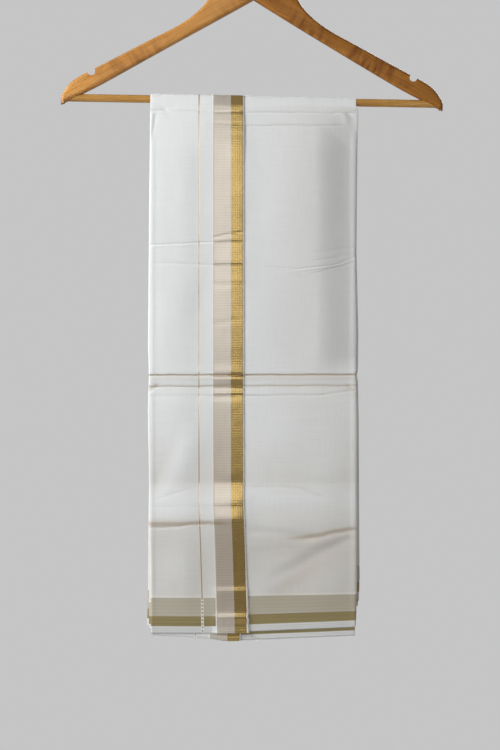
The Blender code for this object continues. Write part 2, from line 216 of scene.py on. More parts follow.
def makeCotton():
    # Fine plain-woven cotton, starched and pressed: matt, with faint slubs both ways.
    # Zari is flat gilt wire wound on thread: metal, dark where it mirrors the room and bright where
    # it mirrors the light.
    look = cottonLook
    material, tree, shader = newMaterial("wovenCottonWithZari")
    place = addNode(tree, "ShaderNodeAttribute", attribute_name="clothPlace")
    split = addNode(tree, "ShaderNodeSeparateXYZ", {0: place.outputs["Vector"]})
    fromEnd, alongWidth, fromSide = split.outputs
    span = look["patternTo"] + 4.0

    def bands(coordinate, table):
        share = addNode(tree, "ShaderNodeMath", {0: coordinate, 1: span}, operation="DIVIDE")
        ramp = addNode(tree, "ShaderNodeValToRGB", {"Fac": share.outputs[0]})
        return setRamp(ramp, [(at / span, colour) for at, colour in table])

    def hard(table):
        # Each row is a band's far edge and its colour; edges are half a millimetre soft
        soft = 0.25
        rows = [(0.0, table[0][1])]
        for (at, colour), (_, following) in zip(table, table[1:]):
            rows += [(at - soft, colour), (at + soft, following)]
        return rows

    def waves(coordinate, pitch):
        # Soft ridges, one to each pitch
        turns = addNode(tree, "ShaderNodeMath", {0: coordinate, 1: math.tau / pitch},
                        operation="MULTIPLY")
        return addNode(tree, "ShaderNodeMath", {0: turns.outputs[0]}, operation="SINE").outputs[0]

    def tone(name):
        # Alpha holds how much of the yarn is metal
        return toLinear(look[name])[:3] + [look["metal"].get(name, 0.0)]

    white = tone("white")
    dense = tone("denseWhite")
    sideBands = []
    for lineFrom, lineTo in look["selvedgeLines"]:
        sideBands += [(lineFrom, white), (lineTo, tone("greyLine"))]
    side = bands(fromSide, hard(sideBands + [
        (look["sideMargin"], white), (look["sideGoldTo"], tone("sideGold")),
        (look["sideGreyTo"], tone("sideGrey")), (look["sideDenseTo"], tone("sideDense")),
        (look["patternTo"], white)]))
    end = bands(fromEnd, hard([
        (look["endMargin"], dense), (look["endMargin"] + look["goldEdge"], tone("endGoldDeep")),
        (look["endGoldTo"], tone("endGold")), (look["endGreyTo"] - look["greyEdge"], tone("endGrey")),
        (look["endGreyTo"], tone("endGreyEdge")), (look["endDenseTo"], dense),
        (look["stripeFrom"] - look["stripeMargin"], white), (look["stripeFrom"], dense),
        (look["stripeTo"], tone("stripe")), (look["stripeTo"] + look["stripeMargin"], dense),
        (look["patternTo"], white)]))

    # The end border covers the side border where they cross, and so does its stripe
    on = (1.0, 1.0, 1.0, 1.0)
    off = (0.0, 0.0, 0.0, 1.0)
    endCovers = bands(fromEnd, hard([(look["endDenseTo"], on), (look["stripeFrom"] - 0.5, off),
                                     (look["stripeTo"] + 0.5, on), (look["patternTo"], off)]))

    # Where the stripe crosses the side border its zari is broken by white
    dashWave = waves(alongWidth, look["dashPitch"])
    dashOn = addNode(tree, "ShaderNodeMath", {0: dashWave, 1: 0.1}, operation="GREATER_THAN")
    inSide = addNode(tree, "ShaderNodeMath", {0: fromSide, 1: look["sideGreyTo"] - 2.0},
                     operation="LESS_THAN")
    inStripe = addNode(tree, "ShaderNodeMath", {0: fromEnd, 1: look["endDenseTo"] + 2.0},
                       operation="GREATER_THAN")
    dashHere = addNode(tree, "ShaderNodeMath", {0: dashOn.outputs[0], 1: inSide.outputs[0]},
                       operation="MULTIPLY")
    dashStripe = addNode(tree, "ShaderNodeMath", {0: dashHere.outputs[0], 1: inStripe.outputs[0]},
                         operation="MULTIPLY")
    endTone = addNode(tree, "ShaderNodeMix", {0: dashStripe.outputs[0], 6: end.outputs["Color"],
                                              7: dense[:3] + [1.0]}, data_type="RGBA")
    woven = addNode(tree, "ShaderNodeMix", {0: endCovers.outputs["Color"], 6: side.outputs["Color"],
                                            7: endTone.outputs[2]}, data_type="RGBA")
    metal = addNode(tree, "ShaderNodeMix", {0: endCovers.outputs["Color"], 2: side.outputs["Alpha"],
                                            3: end.outputs["Alpha"]}, data_type="FLOAT")
    metalDashed = addNode(tree, "ShaderNodeMix", {0: dashStripe.outputs[0], 2: metal.outputs[0], 3: 0.0},
                          data_type="FLOAT")

    # Yarns: weft across the cloth and warp along it, each a row of soft ridges
    weftWave = waves(fromEnd, look["threadPitch"])
    warpWave = waves(alongWidth, look["threadPitch"])
    weave = addNode(tree, "ShaderNodeMath", {0: weftWave, 1: warpWave}, operation="MULTIPLY")

    # Slubs: thicker lengths of yarn, long one way and thin the other
    onCloth = addNode(tree, "ShaderNodeCombineXYZ", {0: fromEnd, 1: alongWidth, 2: 0.0})
    slubWeft = addNode(tree, "ShaderNodeMapping", {0: onCloth.outputs[0], 3: (0.75, 0.03, 1.0)})
    slubWarp = addNode(tree, "ShaderNodeMapping", {0: onCloth.outputs[0], 3: (0.025, 0.7, 1.0)})
    weftNoise = addNode(tree, "ShaderNodeTexNoise", {"Vector": slubWeft.outputs[0], "Scale": 1.0,
                                                     "Detail": 2.0})
    warpNoise = addNode(tree, "ShaderNodeTexNoise", {"Vector": slubWarp.outputs[0], "Scale": 1.0,
                                                     "Detail": 2.0})
    slubs = addNode(tree, "ShaderNodeMath", {0: weftNoise.outputs["Fac"], 1: warpNoise.outputs["Fac"]},
                    operation="ADD")
    slubShare = addNode(tree, "ShaderNodeMapRange", {0: slubs.outputs[0], 1: 0.8, 2: 1.3,
                                                     3: 0.0, 4: 0.16})

    # The zari's pattern: a check and uneven yarns wherever it is, and ribs in the end border
    checkAcross = waves(fromEnd, look["checkPitch"])
    checkAlong = waves(alongWidth, look["checkPitch"])
    checkSum = addNode(tree, "ShaderNodeMath", {0: checkAcross, 1: checkAlong}, operation="ADD")
    check = addNode(tree, "ShaderNodeMath", {0: checkSum.outputs[0], 1: look["checkStrength"]},
                    operation="MULTIPLY")
    ribNoise = addNode(tree, "ShaderNodeTexNoise", {"Vector": slubWarp.outputs[0], "Scale": 0.9,
                                                    "Detail": 3.0, "Roughness": 0.7})
    ribShift = addNode(tree, "ShaderNodeMath", {0: alongWidth, 1: ribNoise.outputs["Fac"]},
                       operation="ADD")
    ribWave = waves(ribShift.outputs[0], look["ribPitch"])
    streaks = addNode(tree, "ShaderNodeMath", {0: slubs.outputs[0], 1: -1.0}, operation="ADD")
    ribHere = addNode(tree, "ShaderNodeMath", {0: ribWave, 1: endCovers.outputs["Color"]},
                      operation="MULTIPLY")
    ribbed = addNode(tree, "ShaderNodeMath", {0: checkSum.outputs[0], 1: ribHere.outputs[0]},
                     operation="ADD")
    streaked = addNode(tree, "ShaderNodeMath", {0: streaks.outputs[0], 1: look["streakStrength"],
                                                2: ribHere.outputs[0]}, operation="MULTIPLY_ADD")
    patterned = addNode(tree, "ShaderNodeMath", {0: check.outputs[0], 1: streaked.outputs[0]},
                        operation="ADD")
    dark, pale = look["patternShade"]
    patternShade = addNode(tree, "ShaderNodeMapRange", {0: patterned.outputs[0], 1: -3.4, 2: 3.4,
                                                        3: dark, 4: pale})
    shadeHere = addNode(tree, "ShaderNodeMix", {0: metalDashed.outputs[0], 2: 1.0,
                                                3: patternShade.outputs[0]}, data_type="FLOAT")

    slubTone = addNode(tree, "ShaderNodeMix", {0: slubShare.outputs[0], 6: (1.0, 1.0, 1.0, 1.0),
                                               7: toLinear(look["slub"])}, data_type="RGBA")
    tinted = addNode(tree, "ShaderNodeMix", {0: 1.0, 6: woven.outputs[2], 7: slubTone.outputs[2]},
                     data_type="RGBA", blend_type="MULTIPLY")
    # Painted shade: the stored amount darkens the colour towards a warm grey-brown
    paintedShade = addNode(tree, "ShaderNodeAttribute", attribute_name="paintedShade")
    shadeShare = addNode(tree, "ShaderNodeMath", {0: paintedShade.outputs["Fac"], 1: look["warmShadeStrength"]},
                        operation="MULTIPLY")
    shadeTinted = addNode(tree, "ShaderNodeMix", {0: shadeShare.outputs[0], 6: tinted.outputs[2],
                                               7: toLinear(look["warmShade"])},
                       data_type="RGBA", blend_type="MULTIPLY")
    shaded = addNode(tree, "ShaderNodeVectorMath", {0: shadeTinted.outputs[2],
                                                    "Scale": shadeHere.outputs[0]}, operation="SCALE")

    rough = addNode(tree, "ShaderNodeMapRange", {0: metalDashed.outputs[0], 1: 0.0, 2: 0.6,
                                                 3: look["cottonRoughness"], 4: look["zariRoughness"]})
    threadHeight = addNode(tree, "ShaderNodeMath", {0: weave.outputs[0], 1: slubs.outputs[0]},
                           operation="ADD")
    threadBump = addNode(tree, "ShaderNodeBump", {"Strength": 0.22, "Distance": 0.00004,
                                                  "Height": threadHeight.outputs[0]})
    ribBump = addNode(tree, "ShaderNodeBump", {"Strength": metalDashed.outputs[0], "Distance": 0.00002,
                                               "Height": ribbed.outputs[0],
                                               "Normal": threadBump.outputs[0]})
    tree.links.new(shaded.outputs[0], shader.inputs["Base Color"])
    tree.links.new(metalDashed.outputs[0], shader.inputs["Metallic"])
    tree.links.new(rough.outputs[0], shader.inputs["Roughness"])
    tree.links.new(ribBump.outputs[0], shader.inputs["Normal"])
    lacquer = addNode(tree, "ShaderNodeMath", {0: metalDashed.outputs[0], 1: look["lacquer"]},
                      operation="MULTIPLY")
    tree.links.new(lacquer.outputs[0], shader.inputs["Coat Weight"])
    shader.inputs["Coat Roughness"].default_value = 0.2
    shader.inputs["IOR"].default_value = 1.45
    shader.inputs["Specular IOR Level"].default_value = 0.25
    shader.inputs["Sheen Weight"].default_value = 0.12
    shader.inputs["Sheen Roughness"].default_value = 0.5
    return material


cotton = makeCotton()
print("cloth material made")


# How the folded cloth hangs. A row for each level where its folds and creases turn it, in mm.
# Columns: drop below the bar's middle, reach of the innermost face in front, and the same behind.
barRadius = 4.5
barHeight = -234.6
barHalfLength = 213.9
hangLength = 620.0
hangRows = [
    (6.0, 6.0, 6.0), (16.0, 6.2, 6.1), (34.0, 6.3, 6.1), (70.0, 6.6, 6.6), (120.0, 6.4, 6.4),
    (165.0, 5.9, 5.9), (230.0, 5.6, 5.2), (285.0, 5.2, 4.7), (320.0, 4.6, 4.5), (390.0, 5.2, 4.8),
    (450.0, 5.4, 4.7), (493.0, 5.1, 4.5), (545.0, 4.6, 4.2), (620.0, 4.2, 4.0),
]

# Facets that the iron and the folding left, front then back. Columns: drop, slope of the facet below it
# in degrees, where plus faces a little up.
frontFacets = [
    (0.0, 0.0), (5.0, -0.6), (11.0, -1.2), (15.5, -0.8), (24.0, -1.7), (29.0, -0.9), (35.5, -1.7),
    (42.0, 0.1), (140.0, -0.7), (153.0, 0.2), (158.0, -0.5), (167.0, 0.7), (186.0, -1.2), (190.5, 1.2),
    (196.0, 0.35), (212.0, -0.65), (221.0, -0.2), (254.0, -0.15), (282.0, -0.1), (296.0, -0.1),
    (303.0, 1.0), (308.0, 2.5), (316.5, -2.0), (319.0, -14.0), (320.4, 7.0), (324.8, -6.0), (333.5, 3.0),
    (342.4, -8.0), (344.2, 5.0), (351.0, 0.4), (358.0, -0.3), (380.0, -0.5), (403.0, -0.2),
    (427.0, -1.2), (436.0, -2.6), (445.6, 5.5), (450.0, 10.0), (464.0, 7.4), (469.0, 2.6), (473.5, 8.6),
    (484.0, 3.4), (487.5, -4.0), (491.0, -9.0), (496.0, -4.0), (545.0, -3.2), (566.0, -1.4),
    (598.0, -3.6), (608.0, -12.0), (621.0, 4.0),
]
# The same for the right of the packet, where the creases are softer
frontFacetsRight = [
    (0.0, 0.0), (5.0, -2.2), (11.0, -3.4), (15.5, -1.4), (28.0, -3.2), (33.0, -1.6), (42.0, 0.1),
    (140.0, -0.4), (158.0, 0.2), (186.0, -0.4), (196.0, 0.3), (221.0, 0.0), (296.0, 0.2), (308.0, 1.6),
    (316.5, -1.5), (319.0, -9.0), (320.4, 4.5), (324.8, -3.6), (333.5, 2.4), (342.4, -4.0), (344.2, 3.0),
    (351.0, 0.3), (403.0, -0.2), (434.0, -2.4), (446.0, 5.6), (456.0, 5.0), (466.0, 4.0), (478.0, 4.4),
    (488.0, 0.4), (496.0, -3.0), (506.0, -5.6), (530.0, -2.6), (566.0, -1.6), (598.0, -3.0),
    (608.0, -9.0), (621.0, 2.0),
]
backFacets = [
    (0.0, 0.0), (5.0, 1.0), (24.0, -2.5), (27.0, 2.0), (33.0, 0.5), (140.0, -2.6), (146.0, 2.4),
    (160.0, 1.0), (201.0, -4.0), (205.0, 3.0), (214.0, -1.4), (306.0, 1.0), (315.0, -8.0), (319.5, 7.0),
    (325.0, -4.5), (334.0, 4.0), (341.0, -4.0), (346.0, 3.0), (356.0, -1.6), (441.0, 4.0), (478.0, -2.6),
    (552.0, 3.0), (560.0, -2.0), (592.0, 0.0),
]

# Single creases. Columns: start across and down, end across and down, depth, half width and how long
# each end fades.
frontCreases = [
    (-127.0, 320.6, 122.0, 319.8, 1.60, 0.85, 3.0), (-127.0, 334.0, 122.0, 332.4, 0.70, 1.1, 8.0),
    (-52.0, 344.2, -8.0, 343.8, 0.35, 1.1, 6.0), (-10.0, 344.6, 80.0, 343.2, 0.42, 1.1, 12.0),
    (74.0, 343.6, 119.0, 337.5, 0.50, 1.1, 8.0), (-124.0, 340.0, -112.0, 331.0, 0.70, 2.0, 5.0),
    (106.0, 332.0, 121.0, 345.0, 0.70, 1.6, 6.0), (102.0, 338.0, 120.0, 350.0, 0.40, 1.8, 7.0),
    (-124.0, 14.0, -60.0, 14.6, 0.45, 1.1, 20.0), (30.0, 14.6, 118.0, 13.2, 0.60, 1.3, 25.0),
    (-66.0, 14.6, -10.0, 14.5, 0.22, 1.4, 12.0), (-15.0, 14.5, 44.0, 14.4, 0.75, 1.3, 8.0),
    (-62.0, 27.8, -6.0, 27.0, 0.12, 1.3, 8.0), (-10.0, 30.2, 104.0, 29.0, 0.85, 1.3, 14.0),
    (-40.0, 41.0, -12.0, 40.6, 0.15, 1.2, 6.0), (-118.0, 7.0, -104.0, 13.0, 0.60, 1.5, 4.0),
    (-108.0, 13.0, -95.0, 8.6, 0.50, 1.5, 5.0), (-93.0, 7.6, -86.0, 13.0, -0.40, 1.5, 4.0),
    (84.0, 8.6, 92.0, 13.0, -0.40, 1.5, 4.0), (91.0, 13.0, 104.0, 8.0, 0.50, 1.6, 5.0),
    (-122.5, 15.0, -112.0, 13.6, 0.70, 1.4, 5.0), (-119.5, 16.0, -123.5, 44.0, -0.80, 1.9, 8.0),
    (-115.5, 18.0, -120.5, 42.0, 0.60, 1.8, 8.0), (-112.0, 6.0, -98.0, 22.0, 0.35, 2.4, 8.0),
    (92.0, 2.0, 118.5, 12.5, 0.75, 1.8, 8.0), (98.0, 4.0, 108.0, 26.0, -0.60, 2.6, 8.0),
    (100.0, 8.0, 117.0, 22.0, 0.60, 1.8, 8.0), (108.0, 14.0, 119.0, 40.0, 0.50, 2.4, 9.0),
    (70.0, 20.0, 112.0, 58.0, 0.45, 4.0, 18.0), (-7.0, 54.0, 30.0, 112.0, 0.28, 2.8, 18.0),
    (2.0, 146.0, 44.0, 148.0, 0.30, 1.8, 14.0), (38.0, 200.6, 98.0, 192.2, -0.34, 0.9, 14.0),
    (92.0, 193.0, 119.0, 183.6, -0.46, 0.9, 6.0), (44.0, 198.0, 98.0, 190.6, 0.55, 0.9, 14.0),
    (94.0, 191.2, 119.0, 182.0, 0.75, 0.9, 6.0), (66.0, 202.4, 119.0, 188.0, 0.50, 1.0, 14.0),
    (10.0, 193.4, 52.0, 196.8, 0.30, 1.1, 12.0), (70.0, 187.4, 119.0, 178.5, 0.40, 0.9, 12.0),
    (60.0, 178.0, 119.0, 172.0, 0.30, 1.1, 12.0), (96.0, 184.0, 120.0, 175.6, 0.40, 0.9, 6.0),
    (40.0, 208.0, 112.0, 198.0, 0.30, 2.4, 22.0), (64.0, 216.0, 118.0, 208.0, 0.26, 2.0, 18.0),
    (-126.0, 169.2, -50.0, 165.6, 0.62, 0.9, 16.0), (-126.0, 171.6, -56.0, 168.2, -0.22, 0.9, 16.0),
    (-52.0, 159.6, -14.0, 154.4, 0.28, 1.5, 6.0), (-52.0, 166.2, -12.0, 165.2, 0.28, 1.2, 6.0),
    (-120.0, 190.0, -50.0, 192.0, 0.26, 1.3, 26.0), (-52.0, 192.0, -10.0, 192.4, 0.36, 1.1, 6.0),
    (-52.0, 214.4, -12.0, 216.0, 0.30, 2.2, 6.0), (-124.0, 236.0, -86.0, 251.0, 0.25, 2.4, 14.0),
    (-60.0, 262.0, -18.0, 256.0, 0.22, 2.0, 12.0), (-122.0, 465.5, -76.0, 453.5, 0.30, 1.8, 16.0),
    (-124.0, 497.5, -48.0, 492.0, 0.75, 2.0, 26.0), (-10.0, 519.0, 46.0, 515.5, -0.50, 1.4, 12.0),
    (-9.0, 449.0, 47.0, 452.0, 0.35, 1.6, 12.0), (46.0, 451.0, 76.0, 461.0, 0.35, 2.0, 10.0),
    (46.0, 511.5, 118.0, 499.4, 1.00, 2.7, 40.0), (-8.0, 501.0, 66.0, 508.0, 0.80, 4.6, 12.0),
    (66.0, 517.0, 119.0, 506.0, -0.55, 4.0, 14.0), (20.0, 556.0, 116.0, 505.0, 1.30, 7.0, 26.0),
    (18.0, 404.0, 84.0, 414.0, 0.20, 3.0, 24.0), (26.0, 372.0, 110.0, 366.0, -0.20, 4.0, 24.0),
]
backCreases = [
    (-122.0, 20.0, -40.0, 24.0, 0.25, 1.8, 20.0), (20.0, 18.0, 118.0, 12.0, 0.30, 1.8, 22.0),
    (-110.0, 62.0, -50.0, 98.0, 0.40, 4.0, 20.0), (36.0, 60.0, 112.0, 84.0, 0.40, 4.5, 24.0),
    (-122.0, 141.0, -14.0, 146.0, 0.25, 1.6, 20.0), (10.0, 204.0, 118.0, 190.0, 0.45, 2.0, 20.0),
    (-120.0, 228.0, -60.0, 214.0, 0.25, 2.4, 18.0), (24.0, 262.0, 96.0, 250.0, 0.20, 3.0, 20.0),
    (-118.0, 392.0, -30.0, 404.0, 0.25, 3.0, 26.0), (14.0, 440.0, 112.0, 452.0, 0.35, 2.2, 20.0),
    (-122.0, 482.0, -40.0, 476.0, 0.60, 2.2, 22.0), (40.0, 520.0, 118.0, 486.0, 0.70, 6.0, 26.0),
    (6.0, 506.0, 60.0, 500.0, 0.30, 1.8, 14.0), (-100.0, 540.0, -40.0, 548.0, 0.25, 2.6, 18.0),
]

# Broad swells between the creases. Columns: middle across and down, half sizes across and down,
# turn in degrees, height.
frontSwells = [
    (-74.0, 74.0, 34.0, 52.0, 0.0, 0.75), (50.0, 92.0, 36.0, 60.0, 12.0, 1.00),
    (4.0, 120.0, 14.0, 40.0, 30.0, -0.40), (-98.0, 250.0, 18.0, 56.0, 12.0, 0.55),
    (-62.0, 232.0, 14.0, 44.0, 18.0, -0.45), (6.0, 262.0, 26.0, 42.0, -16.0, 0.60),
    (62.0, 242.0, 26.0, 34.0, 24.0, -0.50), (88.0, 286.0, 26.0, 26.0, 0.0, 0.60),
    (-100.0, 366.0, 16.0, 30.0, 0.0, 0.50), (-84.0, 412.0, 15.0, 52.0, 28.0, 0.90),
    (-108.0, 436.0, 10.0, 40.0, 28.0, -0.55), (-52.0, 432.0, 16.0, 46.0, 12.0, -0.45),
    (34.0, 392.0, 36.0, 40.0, -10.0, 0.55), (84.0, 424.0, 22.0, 50.0, 14.0, 0.60),
    (20.0, 462.0, 60.0, 10.0, 4.0, 0.45), (-86.0, 476.0, 34.0, 9.0, -4.0, 0.45),
    (-92.0, 546.0, 20.0, 30.0, 26.0, 0.70), (-62.0, 560.0, 12.0, 34.0, 20.0, -0.35),
    (18.0, 560.0, 14.0, 40.0, 50.0, 0.60), (48.0, 556.0, 12.0, 44.0, 52.0, -0.55),
    (88.0, 560.0, 18.0, 40.0, 46.0, 0.60),
]
backSwells = [
    (-70.0, 88.0, 36.0, 54.0, -10.0, 0.80), (54.0, 80.0, 34.0, 50.0, 0.0, 0.80),
    (-6.0, 150.0, 16.0, 48.0, 20.0, -0.40), (80.0, 236.0, 22.0, 50.0, -14.0, 0.60),
    (-88.0, 246.0, 20.0, 50.0, 16.0, 0.50), (16.0, 268.0, 30.0, 34.0, 0.0, 0.45),
    (-60.0, 400.0, 20.0, 50.0, -24.0, 0.70), (60.0, 412.0, 20.0, 54.0, 24.0, 0.80),
    (96.0, 440.0, 12.0, 40.0, 20.0, -0.50), (-20.0, 470.0, 60.0, 10.0, -4.0, 0.45),
    (70.0, 540.0, 20.0, 32.0, -30.0, 0.60), (-74.0, 556.0, 18.0, 34.0, 30.0, 0.60),
]

# Creases given a line of painted shade. Columns: drop, strength, half width, 1 where only the left part
# has.
shadedCreaseLines = {
    "front": [(320.2, 0.70, 1.1, 0.0), (324.0, 0.25, 3.0, 0.0), (333.6, 0.35, 1.6, 0.0),
              (491.6, 0.3, 3.0, 1.0), (492.2, 0.8, 1.6, 1.0)],
    "back": [(316.6, 0.9, 1.3, 0.0), (344.0, 0.3, 1.6, 0.0)],
}

# How far the right side of the packet rolls back. Columns: drop, mm at the right fold.
rightRoll = [(0.0, 0.0), (12.0, 1.0), (34.0, 5.8), (60.0, 9.4), (172.0, 9.4), (190.0, 8.4), (300.0, 7.8),
             (322.0, 2.0), (340.0, 1.0), (420.0, 0.9), (495.0, 1.8), (530.0, 1.1), (620.0, 0.6)]

# Side edges of each stretch. Columns: drop, left edge, right edge. The last two use the left one only.
sideEdges = {
    "turnedPanel": [(0.0, -122.3, -12.7), (285.0, -124.9, -12.7), (320.5, -123.7, -12.7),
                    (360.0, -124.9, -12.7), (470.0, -123.2, -12.4), (537.0, -121.8, -10.0),
                    (583.0, -121.4, -8.0), (620.0, -121.4, -7.5)],
    "turnedUnderPanel": [(0.0, -121.4, -16.8), (300.0, -123.8, -16.8), (360.0, -123.9, -16.8),
                         (560.0, -120.6, -16.8), (620.0, -120.4, -16.8)],
    "mainPanel": [(0.0, -117.0, 117.4), (5.0, -117.0, 118.4), (12.0, -117.0, 119.8),
                  (175.0, -118.0, 117.3), (270.0, -118.0, 118.8), (314.0, -118.0, 118.0),
                  (320.5, -118.0, 116.6), (328.0, -118.0, 118.0), (370.0, -118.0, 118.6),
                  (570.0, -116.0, 118.2), (620.0, -116.0, 116.9)],
    "innerFolds": [(0.0, -114.0, 116.2), (5.0, -114.0, 117.2), (12.0, -114.0, 118.6),
                   (175.0, -115.0, 116.2), (300.0, -115.0, 117.6), (320.5, -115.0, 115.6),
                   (370.0, -115.0, 117.4), (620.0, -113.0, 115.8)],
    "middleFold": [(0.0, -121.4, 0.0), (300.0, -123.6, 0.0), (440.0, -123.2, 0.0), (620.0, -124.0, 0.0)],
    "deepFold": [(0.0, -120.6, 0.0), (300.0, -123.2, 0.0), (440.0, -123.6, 0.0), (560.0, -125.0, 0.0),
                 (620.0, -125.9, 0.0)],
}

# Lower edges, which are the cloth's two woven sides. Columns: place across, height.
frontHems = {
    "deepFold": [(-125.8, -846.8), (115.0, -844.0)],
    "middleFold": [(-124.0, -851.0), (115.8, -849.0)],
    "underMain": [(-122.2, -856.5), (-18.0, -864.0), (115.8, -858.4)],
    "mainPanel": [(-121.0, -855.4), (-7.5, -853.6), (116.9, -848.2)],
    "turnedUnderPanel": [(-121.4, -857.4), (-95.0, -858.7), (-56.0, -861.4), (-35.0, -864.5),
                         (-26.0, -864.6), (-16.8, -864.1)],
    "turnedPanel": [(-121.4, -855.4), (-60.0, -855.8), (-7.5, -855.0)],
}
backHems = {
    "deepFold": [(-121.0, -827.0), (122.0, -816.0)],
    "middleFold": [(-121.0, -829.0), (122.0, -818.5)],
    "underMain": [(-121.0, -834.5), (122.0, -825.5)],
    "mainPanel": [(-121.0, -829.0), (122.0, -820.5)],
    "turnedUnderPanel": [(-121.0, -836.5), (-13.0, -838.5)],
    "turnedPanel": [(-121.0, -830.0), (-13.0, -828.0)],
}

clothValues = {
    "thickness": 0.2,
    "backSwing": 4.2,                           # the back half has swung right by its lower edge
    "loosenBy": 60.0,                           # below this drop the layers hang free of each other
    # Middle of each layer outside the innermost face: pressed over the bar, then hanging
    "layers": {"deep": (0.10, 1.2), "middle": (0.35, 2.1), "under": (0.60, 2.9), "main": (0.85, 3.9),
               "turnedUnder": (1.10, 4.7), "turned": (1.35, 5.5)},
    "turnDepth": 6.8,                           # stiff cloth leaves the bar this far below its middle
    "kink": math.radians(32.0),                 # and bends there
    "crumple": 0.9,
    "crumpleScale": (0.19, 1.1),
    "ripple": 0.15,
    "rippleScale": (0.030, 0.034),
    "hemFrom": 545.0,                           # rows below this drop spread to meet the lower edge
    "narrowFrom": -7.5,                         # a sheet's side border narrows by one share here
    "narrowOver": 124.4,                        # and by another this far to the right
    "wornFrom": 520.0,                          # below this drop the cut end's margin wears away
    "wornOver": 70.0,
    "softFrom": -22.0,                          # creases soften between here
    "softOver": 30.0,                           # and this much further right
    "arcPoints": 7,
    "barRows": 20,
    "rowStep": 3.2,
    "fineStep": 1.15,
    "finestStep": 0.5,
    "backFineStep": 1.5,
    "finestZones": [(12.0, 17.0), (27.5, 32.0), (164.0, 176.0), (180.0, 202.0), (316.5, 324.0),
                    (332.0, 336.0), (342.0, 346.0), (489.0, 497.0)],
    "fineZones": [(4.0, 34.0), (145.0, 172.0), (184.0, 200.0), (304.0, 358.0), (443.0, 476.0),
                  (483.0, 512.0), (562.0, 620.0)],
}

# How much painted shade the cloth gets, a warm darkening, from 0 to 1; places in mm
paintedShadeValues = {
    "lowerHalf": (0.20, 330.0, 120.0),          # painted shade in the lower half: strength, from which drop, growing over
    "nearHem": (0.20, 488.0, 30.0),
    "shadeEndsAtHem": (618.0, 30.0),                  # none of those two from this drop on, fading over
    "paintedLightBand": (0.16, 465.0, 14.0),            # painted light, less shade in this band that faces up to the light: strength, middle, half width
    "frontRight": (0.16, -30.0, 110.0),         # painted shade towards the right side: strength, from where across, growing over
    "frontRightTo": (608.0, 30.0),
    "swellShare": 0.24,                         # swells get less painted shade than hollows
    "swellsFrom": (330.0, 60.0),
    "creaseShare": 0.9,
    "upperCreaseShare": 0.12,                   # for the creases above the next drop
    "upperTo": 300.0,
    "shallowest": 0.25,                         # a crease no deeper than this gets no painted shade
    "widest": 3.0,                              # and so does one with at least this half width
}

# How the packet's side folds roll back. A part is its share of the roll, how far from the middle it
# starts and how wide it is.
rollValues = {
    "backShare": 0.2,                           # the back half rolls this much as far as the front
    "broad": (0.16, 14.0, 104.0),
    "sharp": (0.84, 70.0, 49.0),
    "left": (0.1, 104.0, 20.0),
    # A soft bead runs down each side fold: height, place across, half width
    "beads": ((0.9, 115.3, 2.0), (0.5, -120.0, 2.4)),
    "beadsFrom": (20.0, 30.0),
}


def facetRelief(facets, drop):
    # Adds up the facets' slopes to how far the cloth stands out at each drop, level again at the hem
    drops = np.array([row[0] for row in facets] + [hangLength + 20.0])
    slopes = np.tan(np.radians([row[1] for row in facets]))
    rises = np.concatenate([[0.0], np.cumsum(slopes * np.diff(drops))])
    trend = np.interp(hangLength, drops, rises) / hangLength
    return softened(lambda at: np.interp(at, drops, rises) - trend * at, drop, 0.8)


def placePaintedShade(x, drop, side):
    # Painted shade: darker and warmer low down and towards the right, lighter in a band that faces the
    # light
    lower, lowerFrom, lowerOver = paintedShadeValues["lowerHalf"]
    near, nearFrom, nearOver = paintedShadeValues["nearHem"]
    shadeEndFrom, shadeEndOver = paintedShadeValues["shadeEndsAtHem"]
    pale, paleMiddle, paleHalf = paintedShadeValues["paintedLightBand"]
    warmShade = lower * ease((drop - lowerFrom) / lowerOver) + near * ease((drop - nearFrom) / nearOver)
    warmShade *= ease((shadeEndFrom - drop) / shadeEndOver)
    warmShade -= pale * bell(drop, paleMiddle, paleHalf)
    if side == "front":
        right, rightFrom, rightOver = paintedShadeValues["frontRight"]
        endAt, endOver = paintedShadeValues["frontRightTo"]
        warmShade += right * ease((x - rightFrom) / rightOver) * ease((endAt - drop) / endOver)
    return warmShade


def rollFolds(relief, x, drop, side):
    roll = readTable(rightRoll, drop, 1) * (1.0 if side == "front" else rollValues["backShare"])
    broad, broadFrom, broadOver = rollValues["broad"]
    sharp, sharpFrom, sharpOver = rollValues["sharp"]
    left, leftFrom, leftOver = rollValues["left"]
    beadFrom, beadOver = rollValues["beadsFrom"]
    relief = relief - roll * (broad * np.clip((x - broadFrom) / broadOver, 0.0, 1.2) ** 2
                              + sharp * ease((x - sharpFrom) / sharpOver))
    relief -= left * roll * np.clip((-x - leftFrom) / leftOver, 0.0, 1.2) ** 2
    for height, across, half in rollValues["beads"]:
        relief += height * bell(x, across, half) * ease((drop - beadFrom) / beadOver)
    return relief


